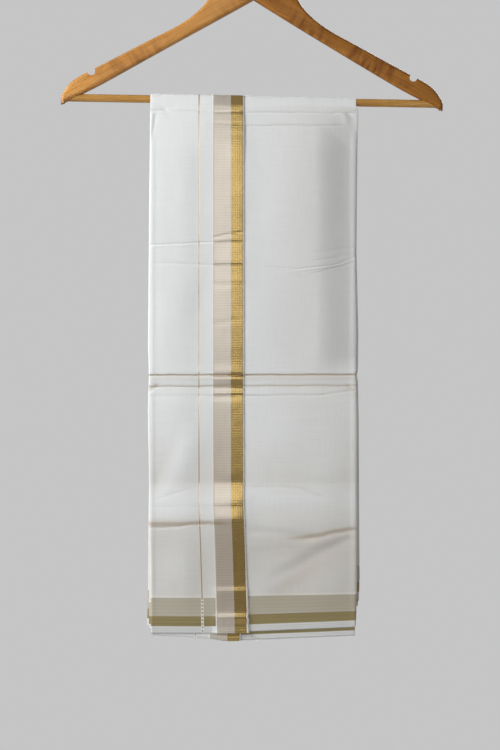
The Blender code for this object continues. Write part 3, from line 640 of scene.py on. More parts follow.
def reliefAt(x, drop, side):
    # How far cloth stands out of its plain hang, in mm, and how much painted shade it gets
    creases, swells = (frontCreases, frontSwells) if side == "front" else (backCreases, backSwells)
    right = ease((x - clothValues["softFrom"]) / clothValues["softOver"])
    if side == "front":
        relief = facetRelief(frontFacets, drop) * (1.0 - right)
        relief += facetRelief(frontFacetsRight, drop) * right
    else:
        relief = facetRelief(backFacets, drop) * (1.0 - 0.3 * right)
    # Painted shade: warm darkening low down, towards the right, in hollows and along narrow creases, less
    # on swells
    warmShade = placePaintedShade(x, drop, side)
    swellsFrom, swellsOver = paintedShadeValues["swellsFrom"]
    for x0, d0, halfX, halfD, turn, height in swells:
        cosine, sine = math.cos(math.radians(turn)), math.sin(math.radians(turn))
        across = ((x - x0) * cosine + (drop - d0) * sine) / halfX
        down = ((drop - d0) * cosine - (x - x0) * sine) / halfD
        swell = height * np.exp(-across ** 2 - down ** 2)
        relief += swell
        warmShade -= paintedShadeValues["swellShare"] * swell * ease((drop - swellsFrom) / swellsOver)
    for drop0, strength, half, leftOnly in shadedCreaseLines[side]:
        share = 1.0 - leftOnly * ease((x + 58.0) / 40.0)
        warmShade += strength * share * bell(drop, drop0, half)
    for x0, d0, x1, d1, depth, half, fade in creases:
        length = math.hypot(x1 - x0, d1 - d0)
        alongX = (x1 - x0) / length
        alongD = (d1 - d0) / length
        along = (x - x0) * alongX + (drop - d0) * alongD
        away = (drop - d0) * alongX - (x - x0) * alongD
        # A wide crease wanders a little, a sharp one hardly
        unsteady = 0.6 * np.sin(along * 0.11 + x0) + 0.3 * np.sin(along * 0.27 + d0)
        wander = min(half / 1.6, 1.0) ** 2 * unsteady
        strength = ease(along / fade + 0.5) * ease((length - along) / fade + 0.5)
        relief -= depth * (strength * bell(away + wander, 0.0, half))
        # Narrow creases also get a line of painted shade
        if half < paintedShadeValues["widest"]:
            shade = strength * bell(away + wander + 0.4 * half, 0.0, half)
            share = paintedShadeValues["creaseShare" if d0 > paintedShadeValues["upperTo"] else "upperCreaseShare"]
            warmShade += share * max(depth - paintedShadeValues["shallowest"], 0.0) * shade
    relief = rollFolds(relief, x, drop, side)
    return relief * ease((drop - clothValues["turnDepth"]) / 7.0), np.clip(warmShade, 0.0, 1.0)


def rippleAt(x, drop, seed):
    # Slight unevenness left by starch and handling, with a finer one on top
    scaleX, scaleD = clothValues["rippleScale"]
    values = []
    for across, down in zip(x.ravel(), drop.ravel()):
        place = Vector((across * scaleX, down * scaleD, seed))
        values.append(noise.noise(place) + 0.45 * noise.noise(place * 2.7))
    return np.reshape(values, x.shape)


def rowDrops(length, step, fineStep):
    values = clothValues
    drops = [values["turnDepth"]]
    while drops[-1] < length - 0.3:
        fine = any(low <= drops[-1] < high for low, high in values["fineZones"])
        finest = any(low <= drops[-1] < high for low, high in values["finestZones"])
        stride = fineStep if fine else step
        if finest and fineStep <= values["fineStep"]:
            stride = values["finestStep"]
        drops.append(min(drops[-1] + stride, length))
    return np.array(drops)


def clothRows(step, fineStep):
    # Rows from the front lower edge, up, over the bar and down the back. Behind, where the creases
    # are softer, they lie further apart.
    drops = rowDrops(hangLength, step, fineStep)
    backDrops = rowDrops(hangLength, step, max(fineStep, clothValues["backFineStep"]))
    kink = clothValues["kink"]
    count = clothValues["barRows"]
    rows = [("front", drop, 0.0) for drop in drops[::-1]]
    rows += [("bar", 0.0, kink + (math.pi - 2.0 * kink) * turn / count) for turn in range(1, count)]
    rows += [("back", drop, 0.0) for drop in backDrops]
    return rows


def layerOffset(layer, drop):
    tight, loose = clothValues["layers"][layer]
    return tight + (loose - tight) * ease(drop / clothValues["loosenBy"])


def evenly(count):
    return np.linspace(0.0, 1.0, count)


def acrossPath(drop, start, legs):
    # Places across the cloth for each row: flat lengths joined by half turns at its folds.
    # A leg is its far edge, its layer, its lower edge's name and the shares of it where its points lie.
    xs, offsets, blends = [], [], []
    position = start
    for index, (edge, layer, hem, shares) in enumerate(legs):
        offset = layerOffset(layer, drop)
        way = np.sign(edge - position)
        last = index == len(legs) - 1
        radius = 0.0 if last else (offset - layerOffset(legs[index + 1][1], drop)) / 2.0
        flatEnd = edge - way * radius
        for share in shares[1:] if index else shares:
            xs.append(position + (flatEnd - position) * share)
            offsets.append(offset)
            blends.append((hem, hem, 0.0))
        if last:
            continue
        for turn in range(1, clothValues["arcPoints"] + 1):
            angle = math.pi * turn / clothValues["arcPoints"]
            xs.append(flatEnd + way * radius * math.sin(angle))
            offsets.append(offset - radius * (1.0 - math.cos(angle)))
            blends.append((hem, legs[index + 1][2], turn / clothValues["arcPoints"]))
        position = flatEnd
    return np.array(xs).T, np.array(offsets).T, blends


def hemHeight(x, blends, hems):
    heights = np.empty_like(x)
    for column, (first, second, share) in enumerate(blends):
        heights[:, column] = (1.0 - share) * readTable(hems[first], x[:, column], 1) \
            + share * readTable(hems[second], x[:, column], 1)
    return heights


def barCrumple(x, turn):
    # Small gathers where the cloth bends over the bar, more of them near its two ends
    scaleX, scaleTurn = clothValues["crumpleScale"]
    turns = np.broadcast_to(turn, x.shape)
    values = [noise.noise(Vector((across * scaleX, angle * scaleTurn, 3.1)))
              for across, angle in zip(x.ravel(), turns.ravel())]
    ends = 0.3 + 0.9 * ease((np.abs(x) - 70.0) / 40.0)
    return clothValues["crumple"] * ends * np.reshape(values, x.shape) * np.sin(turn)


def clothSheet(name, start, legs, endAt, step, fineStep, extra=None, narrowing=(0.0, 0.0), wear=0.0):
    # A grid that follows the packet's path, with each point's place in the flat cloth kept beside it.
    # Its first column lies endAt mm along the cloth from the cut end.
    rows = clothRows(step, fineStep)
    drop = np.array([row[1] for row in rows])
    side = np.array([row[0] for row in rows])
    angle = np.array([row[2] for row in rows])
    x, offset, blends = acrossPath(drop, start(drop), [(leg[0](drop),) + leg[1:] for leg in legs])
    dropGrid = np.repeat(drop[:, None], x.shape[1], axis=1)
    middle = barHeight / math.cos(lean)
    leanZ = middle - x * math.tan(lean)
    shareLoose = ease(dropGrid / clothValues["loosenBy"])
    upper = leanZ * (1.0 - shareLoose) + middle * shareLoose - dropGrid
    places = np.zeros(x.shape + (3,))
    warmShade = np.zeros_like(x)
    fromSide = np.zeros_like(x)
    alongWidth = np.zeros_like(x)
    worn = np.zeros_like(x)
    lastRow = clothValues["hemFrom"]
    for which, direction, hems, column in (("front", -1.0, frontHems, 1), ("back", 1.0, backHems, 2)):
        picked = side == which
        swing = clothValues["backSwing"] * dropGrid[picked] / hangLength if which == "back" else 0.0
        px = x[picked] + swing
        hem = hemHeight(px, blends, hems)
        toHem = np.clip((dropGrid[picked] - lastRow) / (hangLength - lastRow), 0.0, 1.0)
        knee = middle - lastRow
        z = np.where(dropGrid[picked] <= lastRow, upper[picked], knee + (hem - knee) * toHem)
        fallen = np.where(dropGrid[picked] <= lastRow, dropGrid[picked], middle - z)
        relief, warmShade[picked] = reliefAt(px, fallen, which)
        relief += clothValues["ripple"] * shareLoose[picked] * rippleAt(px, fallen, direction)
        if extra is not None:
            shiftX, shiftOut = extra(px, z - hem, dropGrid[picked])
            px = px + shiftX
            relief = relief + shiftOut
        reach = readTable(hangRows, dropGrid[picked], column)
        places[picked] = np.stack([px, direction * (reach + offset[picked] + relief), z], axis=-1)
        worn[picked] = wear * ease((dropGrid[picked] - clothValues["wornFrom"]) / clothValues["wornOver"])
        atRight = np.clip((px - clothValues["narrowFrom"]) / clothValues["narrowOver"], 0.0, 1.0)
        fromSide[picked] = (z - hem) * (1.0 + narrowing[0] * (1.0 - atRight) + narrowing[1] * atRight)
        alongWidth[picked] = hangLength + direction * dropGrid[picked]
    picked = side == "bar"
    depth = clothValues["turnDepth"]
    turn = angle[picked][:, None]
    radius = barRadius + 0.3 + offset[picked] + barCrumple(x[picked], turn)
    reach = hangRows[0][1] + offset[picked]
    kink = clothValues["kink"]
    lifted = (np.sin(turn) - math.sin(kink)) / (1.0 - math.sin(kink))
    places[picked] = np.stack([x[picked], -reach * np.cos(turn) / math.cos(kink),
                               leanZ[picked] - depth + (radius + depth) * lifted], axis=-1)
    fromSide[picked] = hangLength
    alongWidth[picked] = hangLength + (turn - math.pi / 2.0) * 2.0
    steps = np.zeros_like(x)
    steps[:, 1:] = np.hypot(np.diff(x, axis=1), np.diff(offset, axis=1))
    fromEnd = endAt + np.cumsum(steps, axis=1) - worn
    return gridMesh(name, places * mm, np.stack([fromEnd, alongWidth, fromSide], axis=-1), warmShade)


def gridMesh(name, places, clothPlaces, warmShade):
    rows, columns = places.shape[:2]
    index = np.arange(rows * columns).reshape(rows, columns)
    faces = np.stack([index[:-1, :-1], index[:-1, 1:], index[1:, 1:], index[1:, :-1]], axis=-1)
    mesh = bpy.data.meshes.new(name)
    mesh.from_pydata(places.reshape(-1, 3).tolist(), [], faces.reshape(-1, 4).tolist())
    attribute = mesh.attributes.new("clothPlace", "FLOAT_VECTOR", "POINT")
    attribute.data.foreach_set("vector", clothPlaces.reshape(-1).astype(np.float32))
    # The amount of painted shade, for the material
    paintedShade = mesh.attributes.new("paintedShade", "FLOAT", "POINT")
    paintedShade.data.foreach_set("value", warmShade.reshape(-1).astype(np.float32))
    mesh.shade_smooth()
    return mesh


def finishSheet(name, mesh, nodeName):
    piece = finishMesh(name, mesh, cotton, "dhoti_cotton", nodeName)
    wall = piece.modifiers.new("clothThickness", "SOLIDIFY")
    wall.thickness = clothValues["thickness"] * mm
    wall.offset = 0.0
    wall.use_rim = True
    return piece


def edgeOf(name, column, plus=0.0):
    return lambda drop: readTable(sideEdges[name], drop, column) + plus


# Puckers where the end border crosses the side border. Columns: height above the hem, outward.
borderPuckers = [(-4.0, 4.20), (0.0, 3.20), (4.0, 2.15), (8.0, 1.05), (11.0, 0.50), (14.5, 0.95),
                 (17.0, 1.65), (19.5, 1.50), (24.0, 0.30), (29.0, 0.15), (38.0, 0.40), (46.0, 0.90),
                 (49.5, 1.05), (55.5, 0.10), (60.0, 0.0)]


endBorder = {
    "width": 44.0,                              # the puckers reach this far from the cut edge
    "soften": 1.2,
    "waver": 0.55,
    "waverMiddle": 17.0,                        # mm above the hem
    "waverHalf": 13.0,
    "fringe": 0.16,
    "pressed": -1.1,                            # mm; the end border lies closer than the rest
    "underPressed": -0.55,
    "underFlare": 0.15,
}


def turnedExtra(x, height, drop):
    # The heavy end border puckers over the side border, and its cut edge wavers with it
    values = endBorder
    edge = readTable(sideEdges["turnedPanel"], drop, 2)
    inBorder = ease((x - edge + values["width"]) / 8.0)
    out = softened(lambda at: readTable(borderPuckers, at, 1) * inBorder, height, values["soften"])
    wave = np.sin(height * 0.52 + 0.6) * bell(height, values["waverMiddle"], values["waverHalf"])
    waver = values["waver"] * wave * bell(x, edge, 5.0)
    fringe = values["fringe"] * np.sin(height * 1.31) * bell(x, edge, 3.0)
    pressed = values["pressed"] * ease((x - edge + 75.0) / 30.0) * ease((drop - 20.0) / 60.0)
    return waver + fringe, out + pressed


def underExtra(x, height, drop):
    # Below the outer stretch's edge the under one flares a little forwards
    out = endBorder["underFlare"] * ease((7.0 - height) / 7.0) * ease((x + 80.0) / 40.0)
    pressed = endBorder["underPressed"] * ease((x + 88.0) / 30.0) * ease((drop - 20.0) / 60.0)
    return np.zeros_like(x), out + pressed


turned = clothSheet(
    "turnedPanel", edgeOf("turnedPanel", 2),
    [(edgeOf("turnedPanel", 1), "turned", "turnedPanel", evenly(58)),
     (edgeOf("turnedPanel", 1, 8.0), "under", "underMain", evenly(4))],
    0.0, clothValues["rowStep"], clothValues["fineStep"], turnedExtra, wear=0.8)
turnedPanel = finishSheet("turnedPanel", turned, "turned_panel")
print("turned panel made")


# The cut end isn't hemmed, so short ends of the warp stick out all along it

fibreValues = {
    "perMetre": 620.0,
    "length": 1.5,                              # mm, and so is the next
    "rootRadius": 0.07,
    "spread": 0.75,                             # radians either way
    "seed": 7,
}


def cutFibres(name, route, material):
    # Geometry Nodes: thin cones set along the cut edge, each turned and sized a little differently
    values = fibreValues
    length = sum((after - before).length for before, after in zip(route, route[1:]))
    tree, inputs = nodeGroup(name + "Fibres", (
        ("Count", "NodeSocketInt", int(length * values["perMetre"])),
        ("Fibre Length", "NodeSocketFloat", values["length"] * mm),
        ("Root Radius", "NodeSocketFloat", values["rootRadius"] * mm),
        ("Spread", "NodeSocketFloat", values["spread"]),
        ("Seed", "NodeSocketInt", values["seed"]),
        ("Yarn", "NodeSocketMaterial", material)))
    given = addNode(tree, "NodeGroupInput")
    line = addNode(tree, "GeometryNodeMeshToCurve", {0: given.outputs["Geometry"]})
    spots = addNode(tree, "GeometryNodeResampleCurve", {"Curve": line.outputs[0],
                                                        "Count": given.outputs["Count"]})
    fibre = addNode(tree, "GeometryNodeMeshCone", {
        "Vertices": 4, "Radius Top": 0.00001, "Radius Bottom": given.outputs["Root Radius"],
        "Depth": given.outputs["Fibre Length"]})
    opposite = addNode(tree, "ShaderNodeMath", {0: given.outputs["Spread"], 1: -1.0},
                       operation="MULTIPLY")
    tiltLow = addNode(tree, "ShaderNodeCombineXYZ", {0: 0.0, 1: opposite.outputs[0],
                                                     2: opposite.outputs[0]})
    tiltHigh = addNode(tree, "ShaderNodeCombineXYZ", {0: 0.0, 1: given.outputs["Spread"],
                                                      2: given.outputs["Spread"]})
    tilt = addNode(tree, "FunctionNodeRandomValue", {
        "Min": tiltLow.outputs[0], "Max": tiltHigh.outputs[0], "Seed": given.outputs["Seed"]},
                   data_type="FLOAT_VECTOR")
    outward = addNode(tree, "ShaderNodeVectorMath", {0: tilt.outputs[0], 1: (0.0, math.radians(90), 0.0)},
                      operation="ADD")
    size = addNode(tree, "FunctionNodeRandomValue", {2: 0.35, 3: 1.25, "Seed": given.outputs["Seed"]},
                   data_type="FLOAT")
    placed = addNode(tree, "GeometryNodeInstanceOnPoints", {
        "Points": spots.outputs[0], "Instance": fibre.outputs[0], "Rotation": outward.outputs[0],
        "Scale": size.outputs[1]})
    real = addNode(tree, "GeometryNodeRealizeInstances", {"Geometry": placed.outputs[0]})
    coloured = addNode(tree, "GeometryNodeSetMaterial", {"Geometry": real.outputs[0],
                                                         "Material": given.outputs["Yarn"]})
    addNode(tree, "NodeGroupOutput", {"Geometry": coloured.outputs[0]})
    points = [tuple(point) for point in route]
    joins = [(index, index + 1) for index in range(len(points) - 1)]
    return growOnLine(name, points, joins, tree, inputs)


def cutEdge(piece):
    # The first point of each row lies on the cut edge
    rows = len(clothRows(clothValues["rowStep"], clothValues["fineStep"]))
    columns = len(piece.data.vertices) // rows
    return [piece.data.vertices[row * columns].co.copy() for row in range(rows)]


def makeYarn():
    # Loose cotton yarn ends: white, matt and a little furry
    material, _, shader = newMaterial("looseCottonYarn")
    shader.inputs["Base Color"].default_value = toLinear("#F4F4F1")
    shader.inputs["Roughness"].default_value = 0.9
    shader.inputs["Sheen Weight"].default_value = 0.3
    return material


yarn = makeYarn()
finishMesh("cutEndFibres", cutFibres("cutEndFibres", cutEdge(turnedPanel), yarn), yarn,
           "dhoti_cotton", "turned_panel")
print("cut end fibres made")

turnedUnder = clothSheet(
    "turnedUnderPanel", edgeOf("turnedUnderPanel", 2),
    [(edgeOf("turnedUnderPanel", 1), "turnedUnder", "turnedUnderPanel", evenly(40)),
     (edgeOf("turnedUnderPanel", 1, 3.4), "main", "mainPanel", evenly(3))],
    0.0, clothValues["rowStep"] * 1.5, clothValues["fineStep"] * 1.5, underExtra)
turnedUnderPanel = finishSheet("turnedUnderPanel", turnedUnder, "turned_under_panel")
print("turned under panel made")

# Fewer points where the turned panel covers it
covered = 0.44
mainShares = np.concatenate([covered * evenly(14)[:-1], covered + (1.0 - covered) * evenly(46)])
main = clothSheet(
    "mainPanel", edgeOf("mainPanel", 1),
    [(edgeOf("mainPanel", 2), "main", "mainPanel", mainShares),
     (edgeOf("mainPanel", 2, -8.0), "deep", "deepFold", evenly(4))],
    110.0, clothValues["rowStep"], clothValues["fineStep"], narrowing=(0.0, 0.09))
mainPanel = finishSheet("mainPanel", main, "main_panel")
print("main panel made")

inner = clothSheet(
    "innerFolds", edgeOf("innerFolds", 1),
    [(edgeOf("innerFolds", 2), "under", "underMain", evenly(44)),
     (edgeOf("middleFold", 1), "middle", "middleFold", evenly(44))],
    116.0, clothValues["rowStep"] * 1.5, clothValues["fineStep"] * 1.8, narrowing=(0.32, 0.36))
innerFolds = finishSheet("innerFolds", inner, "inner_folds")

deep = clothSheet(
    "deepFold", edgeOf("mainPanel", 2, -9.6),
    [(edgeOf("deepFold", 1), "deep", "deepFold", evenly(50))],
    360.0, clothValues["rowStep"] * 1.5, clothValues["fineStep"] * 1.8)
deepFold = finishSheet("deepFold", deep, "inner_folds")
print("hidden folds made")


# Hanger: two sawn hardwood arms mitred at the neck, a turned bar let into them, and a wire hook

armValues = {
    "thickness": 13.0,
    "rounding": 3.6,
    "roundingSteps": 5,
    "bow": {"arm_left": -0.4, "arm_right": 1.4},
    "notchAt": 188.5,
    "notchWidth": 9.0,
    "notchDepth": 6.2,
    "slotHeight": 12.0,
    "cutThrough": 40.0,                         # long enough to pass right through the arm
    "barPlay": 0.3,
    "barHoleLength": 428.6,
    "hookHoleRadius": 2.05,
    "hookHoleDepth": 13.8,
    "eased": 0.35,
    "gap": 0.15,
}
# Outline of an arm from the foot of the mitre, in mm: along the underside, round the nose and back
# along the top
armUnderside = [(0.0, 0.0), (45.0, -26.1), (90.0, -51.9), (132.0, -76.2), (175.0, -100.9),
                (200.0, -113.8), (222.6, -125.7)]
armNose = [(222.4, -116.5), (217.2, -106.8), (209.0, -97.8), (197.0, -90.2)]
armTop = [(175.0, -78.6), (117.0, -47.6), (93.4, -35.3), (76.0, -24.1), (66.0, -15.6), (58.4, -7.9),
          (53.0, 0.0), (47.0, 9.5), (40.5, 20.0), (33.0, 30.5), (24.5, 39.2), (14.0, 45.0), (0.0, 47.0)]
neckHeight = armTop[-1][1]                      # above the foot of the mitre


def smoothRun(points, steps):
    # A curve through the points, for the arm's sawn and sanded outline
    run = []
    for index in range(len(points) - 1):
        before = Vector(points[max(index - 1, 0)])
        here = Vector(points[index])
        there = Vector(points[index + 1])
        after = Vector(points[min(index + 2, len(points) - 1)])
        for step in range(steps):
            t = step / steps
            run.append(0.5 * ((2 * here) + (there - before) * t
                              + (2 * before - 5 * here + 4 * there - after) * t * t
                              + (3 * here - before - 3 * there + after) * t ** 3))
    run.append(Vector(points[-1]))
    return run


def toHanger(place):
    return Matrix.Rotation(lean, 4, "Y") @ Vector(place)


def armMesh(name, side):
    values = armValues
    reach = armUnderside[-1][0]
    edge = smoothRun(armUnderside, 3)[:-1] + smoothRun(armUnderside[-1:] + armNose + armTop[:1], 5)[:-1] \
        + smoothRun(armNose[-1:] + armTop, 5)[5:]
    outline = []
    for point in edge:
        bow = values["bow"][name] * math.sin(math.pi * min(point[0], reach) / reach)
        outline.append(Vector((side * max(point[0], values["gap"]), apexZ / mm + point[1] - bow)))
    shape = bmesh.new()
    front = [shape.verts.new((p.x * mm, -values["thickness"] / 2 * mm, p.y * mm)) for p in outline]
    back = [shape.verts.new((p.x * mm, values["thickness"] / 2 * mm, p.y * mm)) for p in outline]
    shape.faces.new(front)
    shape.faces.new(back[::-1])
    count = len(outline)
    for index in range(count):
        following = (index + 1) % count
        shape.faces.new((front[following], front[index], back[index], back[following]))
    bmesh.ops.recalc_face_normals(shape, faces=shape.faces)
    rim = []
    for bit in shape.edges:
        first, second = bit.verts
        alongRim = abs(first.co.y - second.co.y) < 1e-6
        mitre = abs(first.co.x) < 0.2 * mm and abs(second.co.x) < 0.2 * mm
        if alongRim and not mitre:
            rim.append(bit)
    bmesh.ops.bevel(shape, geom=rim, offset=values["rounding"] * mm, segments=values["roundingSteps"],
                    profile=0.5, affect="EDGES", clamp_overlap=False)
    return meshFrom(shape, name)


def cylinderCutter(name, radius, length, place):
    shape = bmesh.new()
    bmesh.ops.create_cone(shape, cap_ends=True, segments=48, radius1=radius * mm, radius2=radius * mm,
                          depth=length * mm, matrix=place)
    return placeObject(name, meshFrom(shape, name))


def boxCutter(name, size, place):
    shape = bmesh.new()
    scale = Matrix.Diagonal((size[0] * mm, size[1] * mm, size[2] * mm, 1.0))
    bmesh.ops.create_cube(shape, size=1.0, matrix=place @ scale)
    return placeObject(name, meshFrom(shape, name))


def makeArm(pieceName, nodeName, side, material):
    # Rounded blank, then the strap notch, the blind hole for the bar and the hook's hole
    values = armValues
    arm = placeObject(nodeName + "Work", armMesh(nodeName, side))
    bow = values["bow"][nodeName] * math.sin(math.pi * values["notchAt"] / armUnderside[-1][0])
    slope = math.atan2(armTop[0][1] - armTop[1][1], armTop[0][0] - armTop[1][0])
    mouth = apexZ / mm + armTop[0][1] + (values["notchAt"] - armTop[0][0]) * math.tan(slope) - bow
    radius = values["notchWidth"] / 2.0
    bottom = -(values["notchDepth"] - radius)
    notch = Matrix.Translation((side * values["notchAt"] * mm, 0.0, mouth * mm)) \
        @ Matrix.Rotation(-side * slope, 4, "Y")
    notchFloor = notch @ Matrix.Translation((0.0, 0.0, bottom * mm))
    notchSlot = notch @ Matrix.Translation((0.0, 0.0, (bottom + values["slotHeight"] / 2.0) * mm))
    lying = Matrix.Rotation(math.radians(90), 4, "X")
    across = Matrix.Rotation(math.radians(90), 4, "Y")
    cutters = [
        cylinderCutter("notchRound", radius, values["cutThrough"], notchFloor @ lying),
        boxCutter("notchSlot", (values["notchWidth"], values["cutThrough"], values["slotHeight"]),
                  notchSlot),
        cylinderCutter("barHole", barRadius + values["barPlay"], values["barHoleLength"],
                       Matrix.Translation((0.0, 0.0, barHeight * mm)) @ across),
        cylinderCutter("hookHole", values["hookHoleRadius"], 2.0 * values["hookHoleDepth"],
                       Matrix.Translation((0.0, 0.0, apexZ + neckHeight * mm))),
    ]
    for cutter in cutters:
        cut = arm.modifiers.new(cutter.name, "BOOLEAN")
        cut.operation = "DIFFERENCE"
        cut.solver = "EXACT"
        cut.object = cutter
    eased = arm.modifiers.new("easedEdges", "BEVEL")
    eased.limit_method = "ANGLE"
    eased.angle_limit = math.radians(50)
    eased.width = values["eased"] * mm
    eased.segments = 2
    finished = evaluatedMesh(arm, nodeName)
    finished.transform(Matrix.Rotation(lean, 4, "Y"))
    for old in [arm] + cutters:
        bpy.data.objects.remove(old, do_unlink=True)
    finished.shade_smooth()
    finished.set_sharp_from_angle(angle=math.radians(38))
    finishMesh(pieceName, finished, material, "varnished_wood", nodeName)


woodLook = {
    # Both arms are one wood: the left arm's tones are painted lighter for the light that falls on it, the
    # right arm's darker for its shade
    "left": {"tones": ("#DBA662", "#CB9049", "#A3682C"), "curl": 0.35, "varnish": 0.22},
    "right": {"tones": ("#B27936", "#A0692A", "#84511E"), "curl": 0.9, "varnish": 0.06},
    "bar": {"tones": ("#D6AB6C", "#C2914C", "#A37236"), "curl": 0.1, "varnish": 0.05},
    "toneStops": (0.28, 0.52, 0.76),
    "figure": "#6B3A10",
    "armSlope": math.radians(29.0),             # the grain runs along the arm
    "grainWidth": 1.6,                          # mm; really finer, drawn coarse enough to show
    "grainLength": 55.0,
    "curlPitch": 7.5,
    "roughness": 0.42,
}


def makeWood(name, tilt, kind):
    # Sawn and sanded hardwood, stained and varnished: fine darker lines along the grain,
    # and cross-grain curl that shows as soft bars of light and dark
    look = woodLook
    tones = [toLinear(tone) for tone in look[kind]["tones"]]
    fineShare = 1.0 / look["grainWidth"]
    material, tree, shader = newMaterial(name)
    where = addNode(tree, "ShaderNodeTexCoord")
    turned = addNode(tree, "ShaderNodeMapping", {0: where.outputs["Object"], "Rotation": (0.0, tilt, 0.0),
                                                 "Scale": (1000.0, 1000.0, 1000.0)})
    stretched = addNode(tree, "ShaderNodeMapping", {
        0: turned.outputs[0], "Scale": (1.0 / look["grainLength"], fineShare, fineShare)})
    fine = addNode(tree, "ShaderNodeTexNoise", {"Vector": stretched.outputs[0], "Scale": 1.0,
                                                "Detail": 4.0, "Roughness": 0.6, "Distortion": 0.3})
    broadScale = addNode(tree, "ShaderNodeMapping", {0: turned.outputs[0], "Scale": (0.012, 0.09, 0.09)})
    broad = addNode(tree, "ShaderNodeTexNoise", {"Vector": broadScale.outputs[0], "Scale": 1.0,
                                                 "Detail": 2.0})
    curlScale = addNode(tree, "ShaderNodeMapping", {
        0: turned.outputs[0], "Scale": (1.0 / look["curlPitch"], 0.02, 0.035)})
    curlNoise = addNode(tree, "ShaderNodeTexNoise", {"Vector": curlScale.outputs[0], "Scale": 1.0,
                                                     "Detail": 1.5, "Distortion": 0.5})
    patchScale = addNode(tree, "ShaderNodeMapping", {0: turned.outputs[0], "Scale": (0.016, 0.03, 0.03)})
    patch = addNode(tree, "ShaderNodeTexNoise", {"Vector": patchScale.outputs[0], "Scale": 1.0,
                                                 "Detail": 1.0})
    patchShare = addNode(tree, "ShaderNodeMapRange", {0: patch.outputs["Fac"], 1: 0.42, 2: 0.62,
                                                      3: 0.0, 4: look[kind]["curl"]})
    curlTone = addNode(tree, "ShaderNodeMapRange", {0: curlNoise.outputs["Fac"], 1: 0.36, 2: 0.64,
                                                    3: 0.0, 4: 1.0})
    curlHere = addNode(tree, "ShaderNodeMath", {0: curlTone.outputs[0], 1: patchShare.outputs[0]},
                       operation="MULTIPLY")
    grain = addNode(tree, "ShaderNodeValToRGB", {"Fac": fine.outputs["Fac"]})
    setRamp(grain, list(zip(look["toneStops"], tones)))
    wide = addNode(tree, "ShaderNodeMapRange", {0: broad.outputs["Fac"], 1: 0.3, 2: 0.7, 3: 0.0, 4: 0.45})
    shaded = addNode(tree, "ShaderNodeMix", {0: wide.outputs[0], 6: grain.outputs[0], 7: tones[2]},
                     data_type="RGBA")
    curled = addNode(tree, "ShaderNodeMix", {0: curlHere.outputs[0], 6: shaded.outputs[2],
                                             7: toLinear(look["figure"])}, data_type="RGBA")
    rough = addNode(tree, "ShaderNodeMapRange", {0: fine.outputs["Fac"], 1: 0.3, 2: 0.7,
                                                 3: look["roughness"] - 0.06,
                                                 4: look["roughness"] + 0.08})
    bump = addNode(tree, "ShaderNodeBump", {"Strength": 0.25, "Distance": 0.00008,
                                            "Height": fine.outputs["Fac"]})
    tree.links.new(curled.outputs[2], shader.inputs["Base Color"])
    tree.links.new(rough.outputs[0], shader.inputs["Roughness"])
    tree.links.new(bump.outputs[0], shader.inputs["Normal"])
    shader.inputs["IOR"].default_value = 1.5
    shader.inputs["Specular IOR Level"].default_value = 0.16
    shader.inputs["Coat Weight"].default_value = look[kind]["varnish"]
    shader.inputs["Coat Roughness"].default_value = 0.26
    shader.inputs["Coat IOR"].default_value = 1.5
    return material


# Lit and shaded copies of one wood: the left arm painted lighter, the right darker
litLeftWood = makeWood("varnishedHardwoodLitLeft", woodLook["armSlope"] + lean, "left")
shadedRightWood = makeWood("varnishedHardwoodShadedRight", -woodLook["armSlope"] + lean, "right")
barWood = makeWood("turnedHardwood", lean, "bar")

makeArm("armLeft", "arm_left", -1.0, litLeftWood)
makeArm("armRight", "arm_right", 1.0, shadedRightWood)
print("arms made")


def sweptWire(name, runs, radius, sides, material):
    # Geometry Nodes: a round section carried along each run of points, closed at both ends
    tree, inputs = nodeGroup(name + "Sweep", (
        ("Section Radius", "NodeSocketFloat", radius),
        ("Section Sides", "NodeSocketInt", sides),
        ("Finish", "NodeSocketMaterial", material)))
    given = addNode(tree, "NodeGroupInput")
    route = addNode(tree, "GeometryNodeMeshToCurve", {0: given.outputs["Geometry"]})
    section = addNode(tree, "GeometryNodeCurvePrimitiveCircle", {
        "Resolution": given.outputs["Section Sides"], "Radius": given.outputs["Section Radius"]})
    swept = addNode(tree, "GeometryNodeCurveToMesh", {
        "Curve": route.outputs[0], "Profile Curve": section.outputs[0], "Fill Caps": True})
    welded = addNode(tree, "GeometryNodeMergeByDistance", {"Geometry": swept.outputs[0],
                                                           "Distance": 0.00001})
    smooth = addNode(tree, "GeometryNodeSetShadeSmooth", {"Geometry": welded.outputs[0]})
    real = addNode(tree, "GeometryNodeRealizeInstances", {"Geometry": smooth.outputs[0]})
    coloured = addNode(tree, "GeometryNodeSetMaterial", {"Geometry": real.outputs[0],
                                                         "Material": given.outputs["Finish"]})
    addNode(tree, "NodeGroupOutput", {"Geometry": coloured.outputs[0]})
    points, joins = [], []
    for run in runs:
        joins += [(len(points) + index, len(points) + index + 1) for index in range(len(run) - 1)]
        points += [tuple(point) for point in run]
    return growOnLine(name, points, joins, tree, inputs)


hookValues = {
    "wireRadius": 1.75,
    "innerRadius": 19.0,
    "screwDepth": 13.2,
    "ringStart": -50.0,                         # degrees, and so is the next
    "ringEnd": 206.0,
    "bendStart": -56.0,                         # mm from the seat
    "bendPull": 0.42,
    "bendSteps": 24,
    "ringSteps": 72,
    "sides": 20,
}


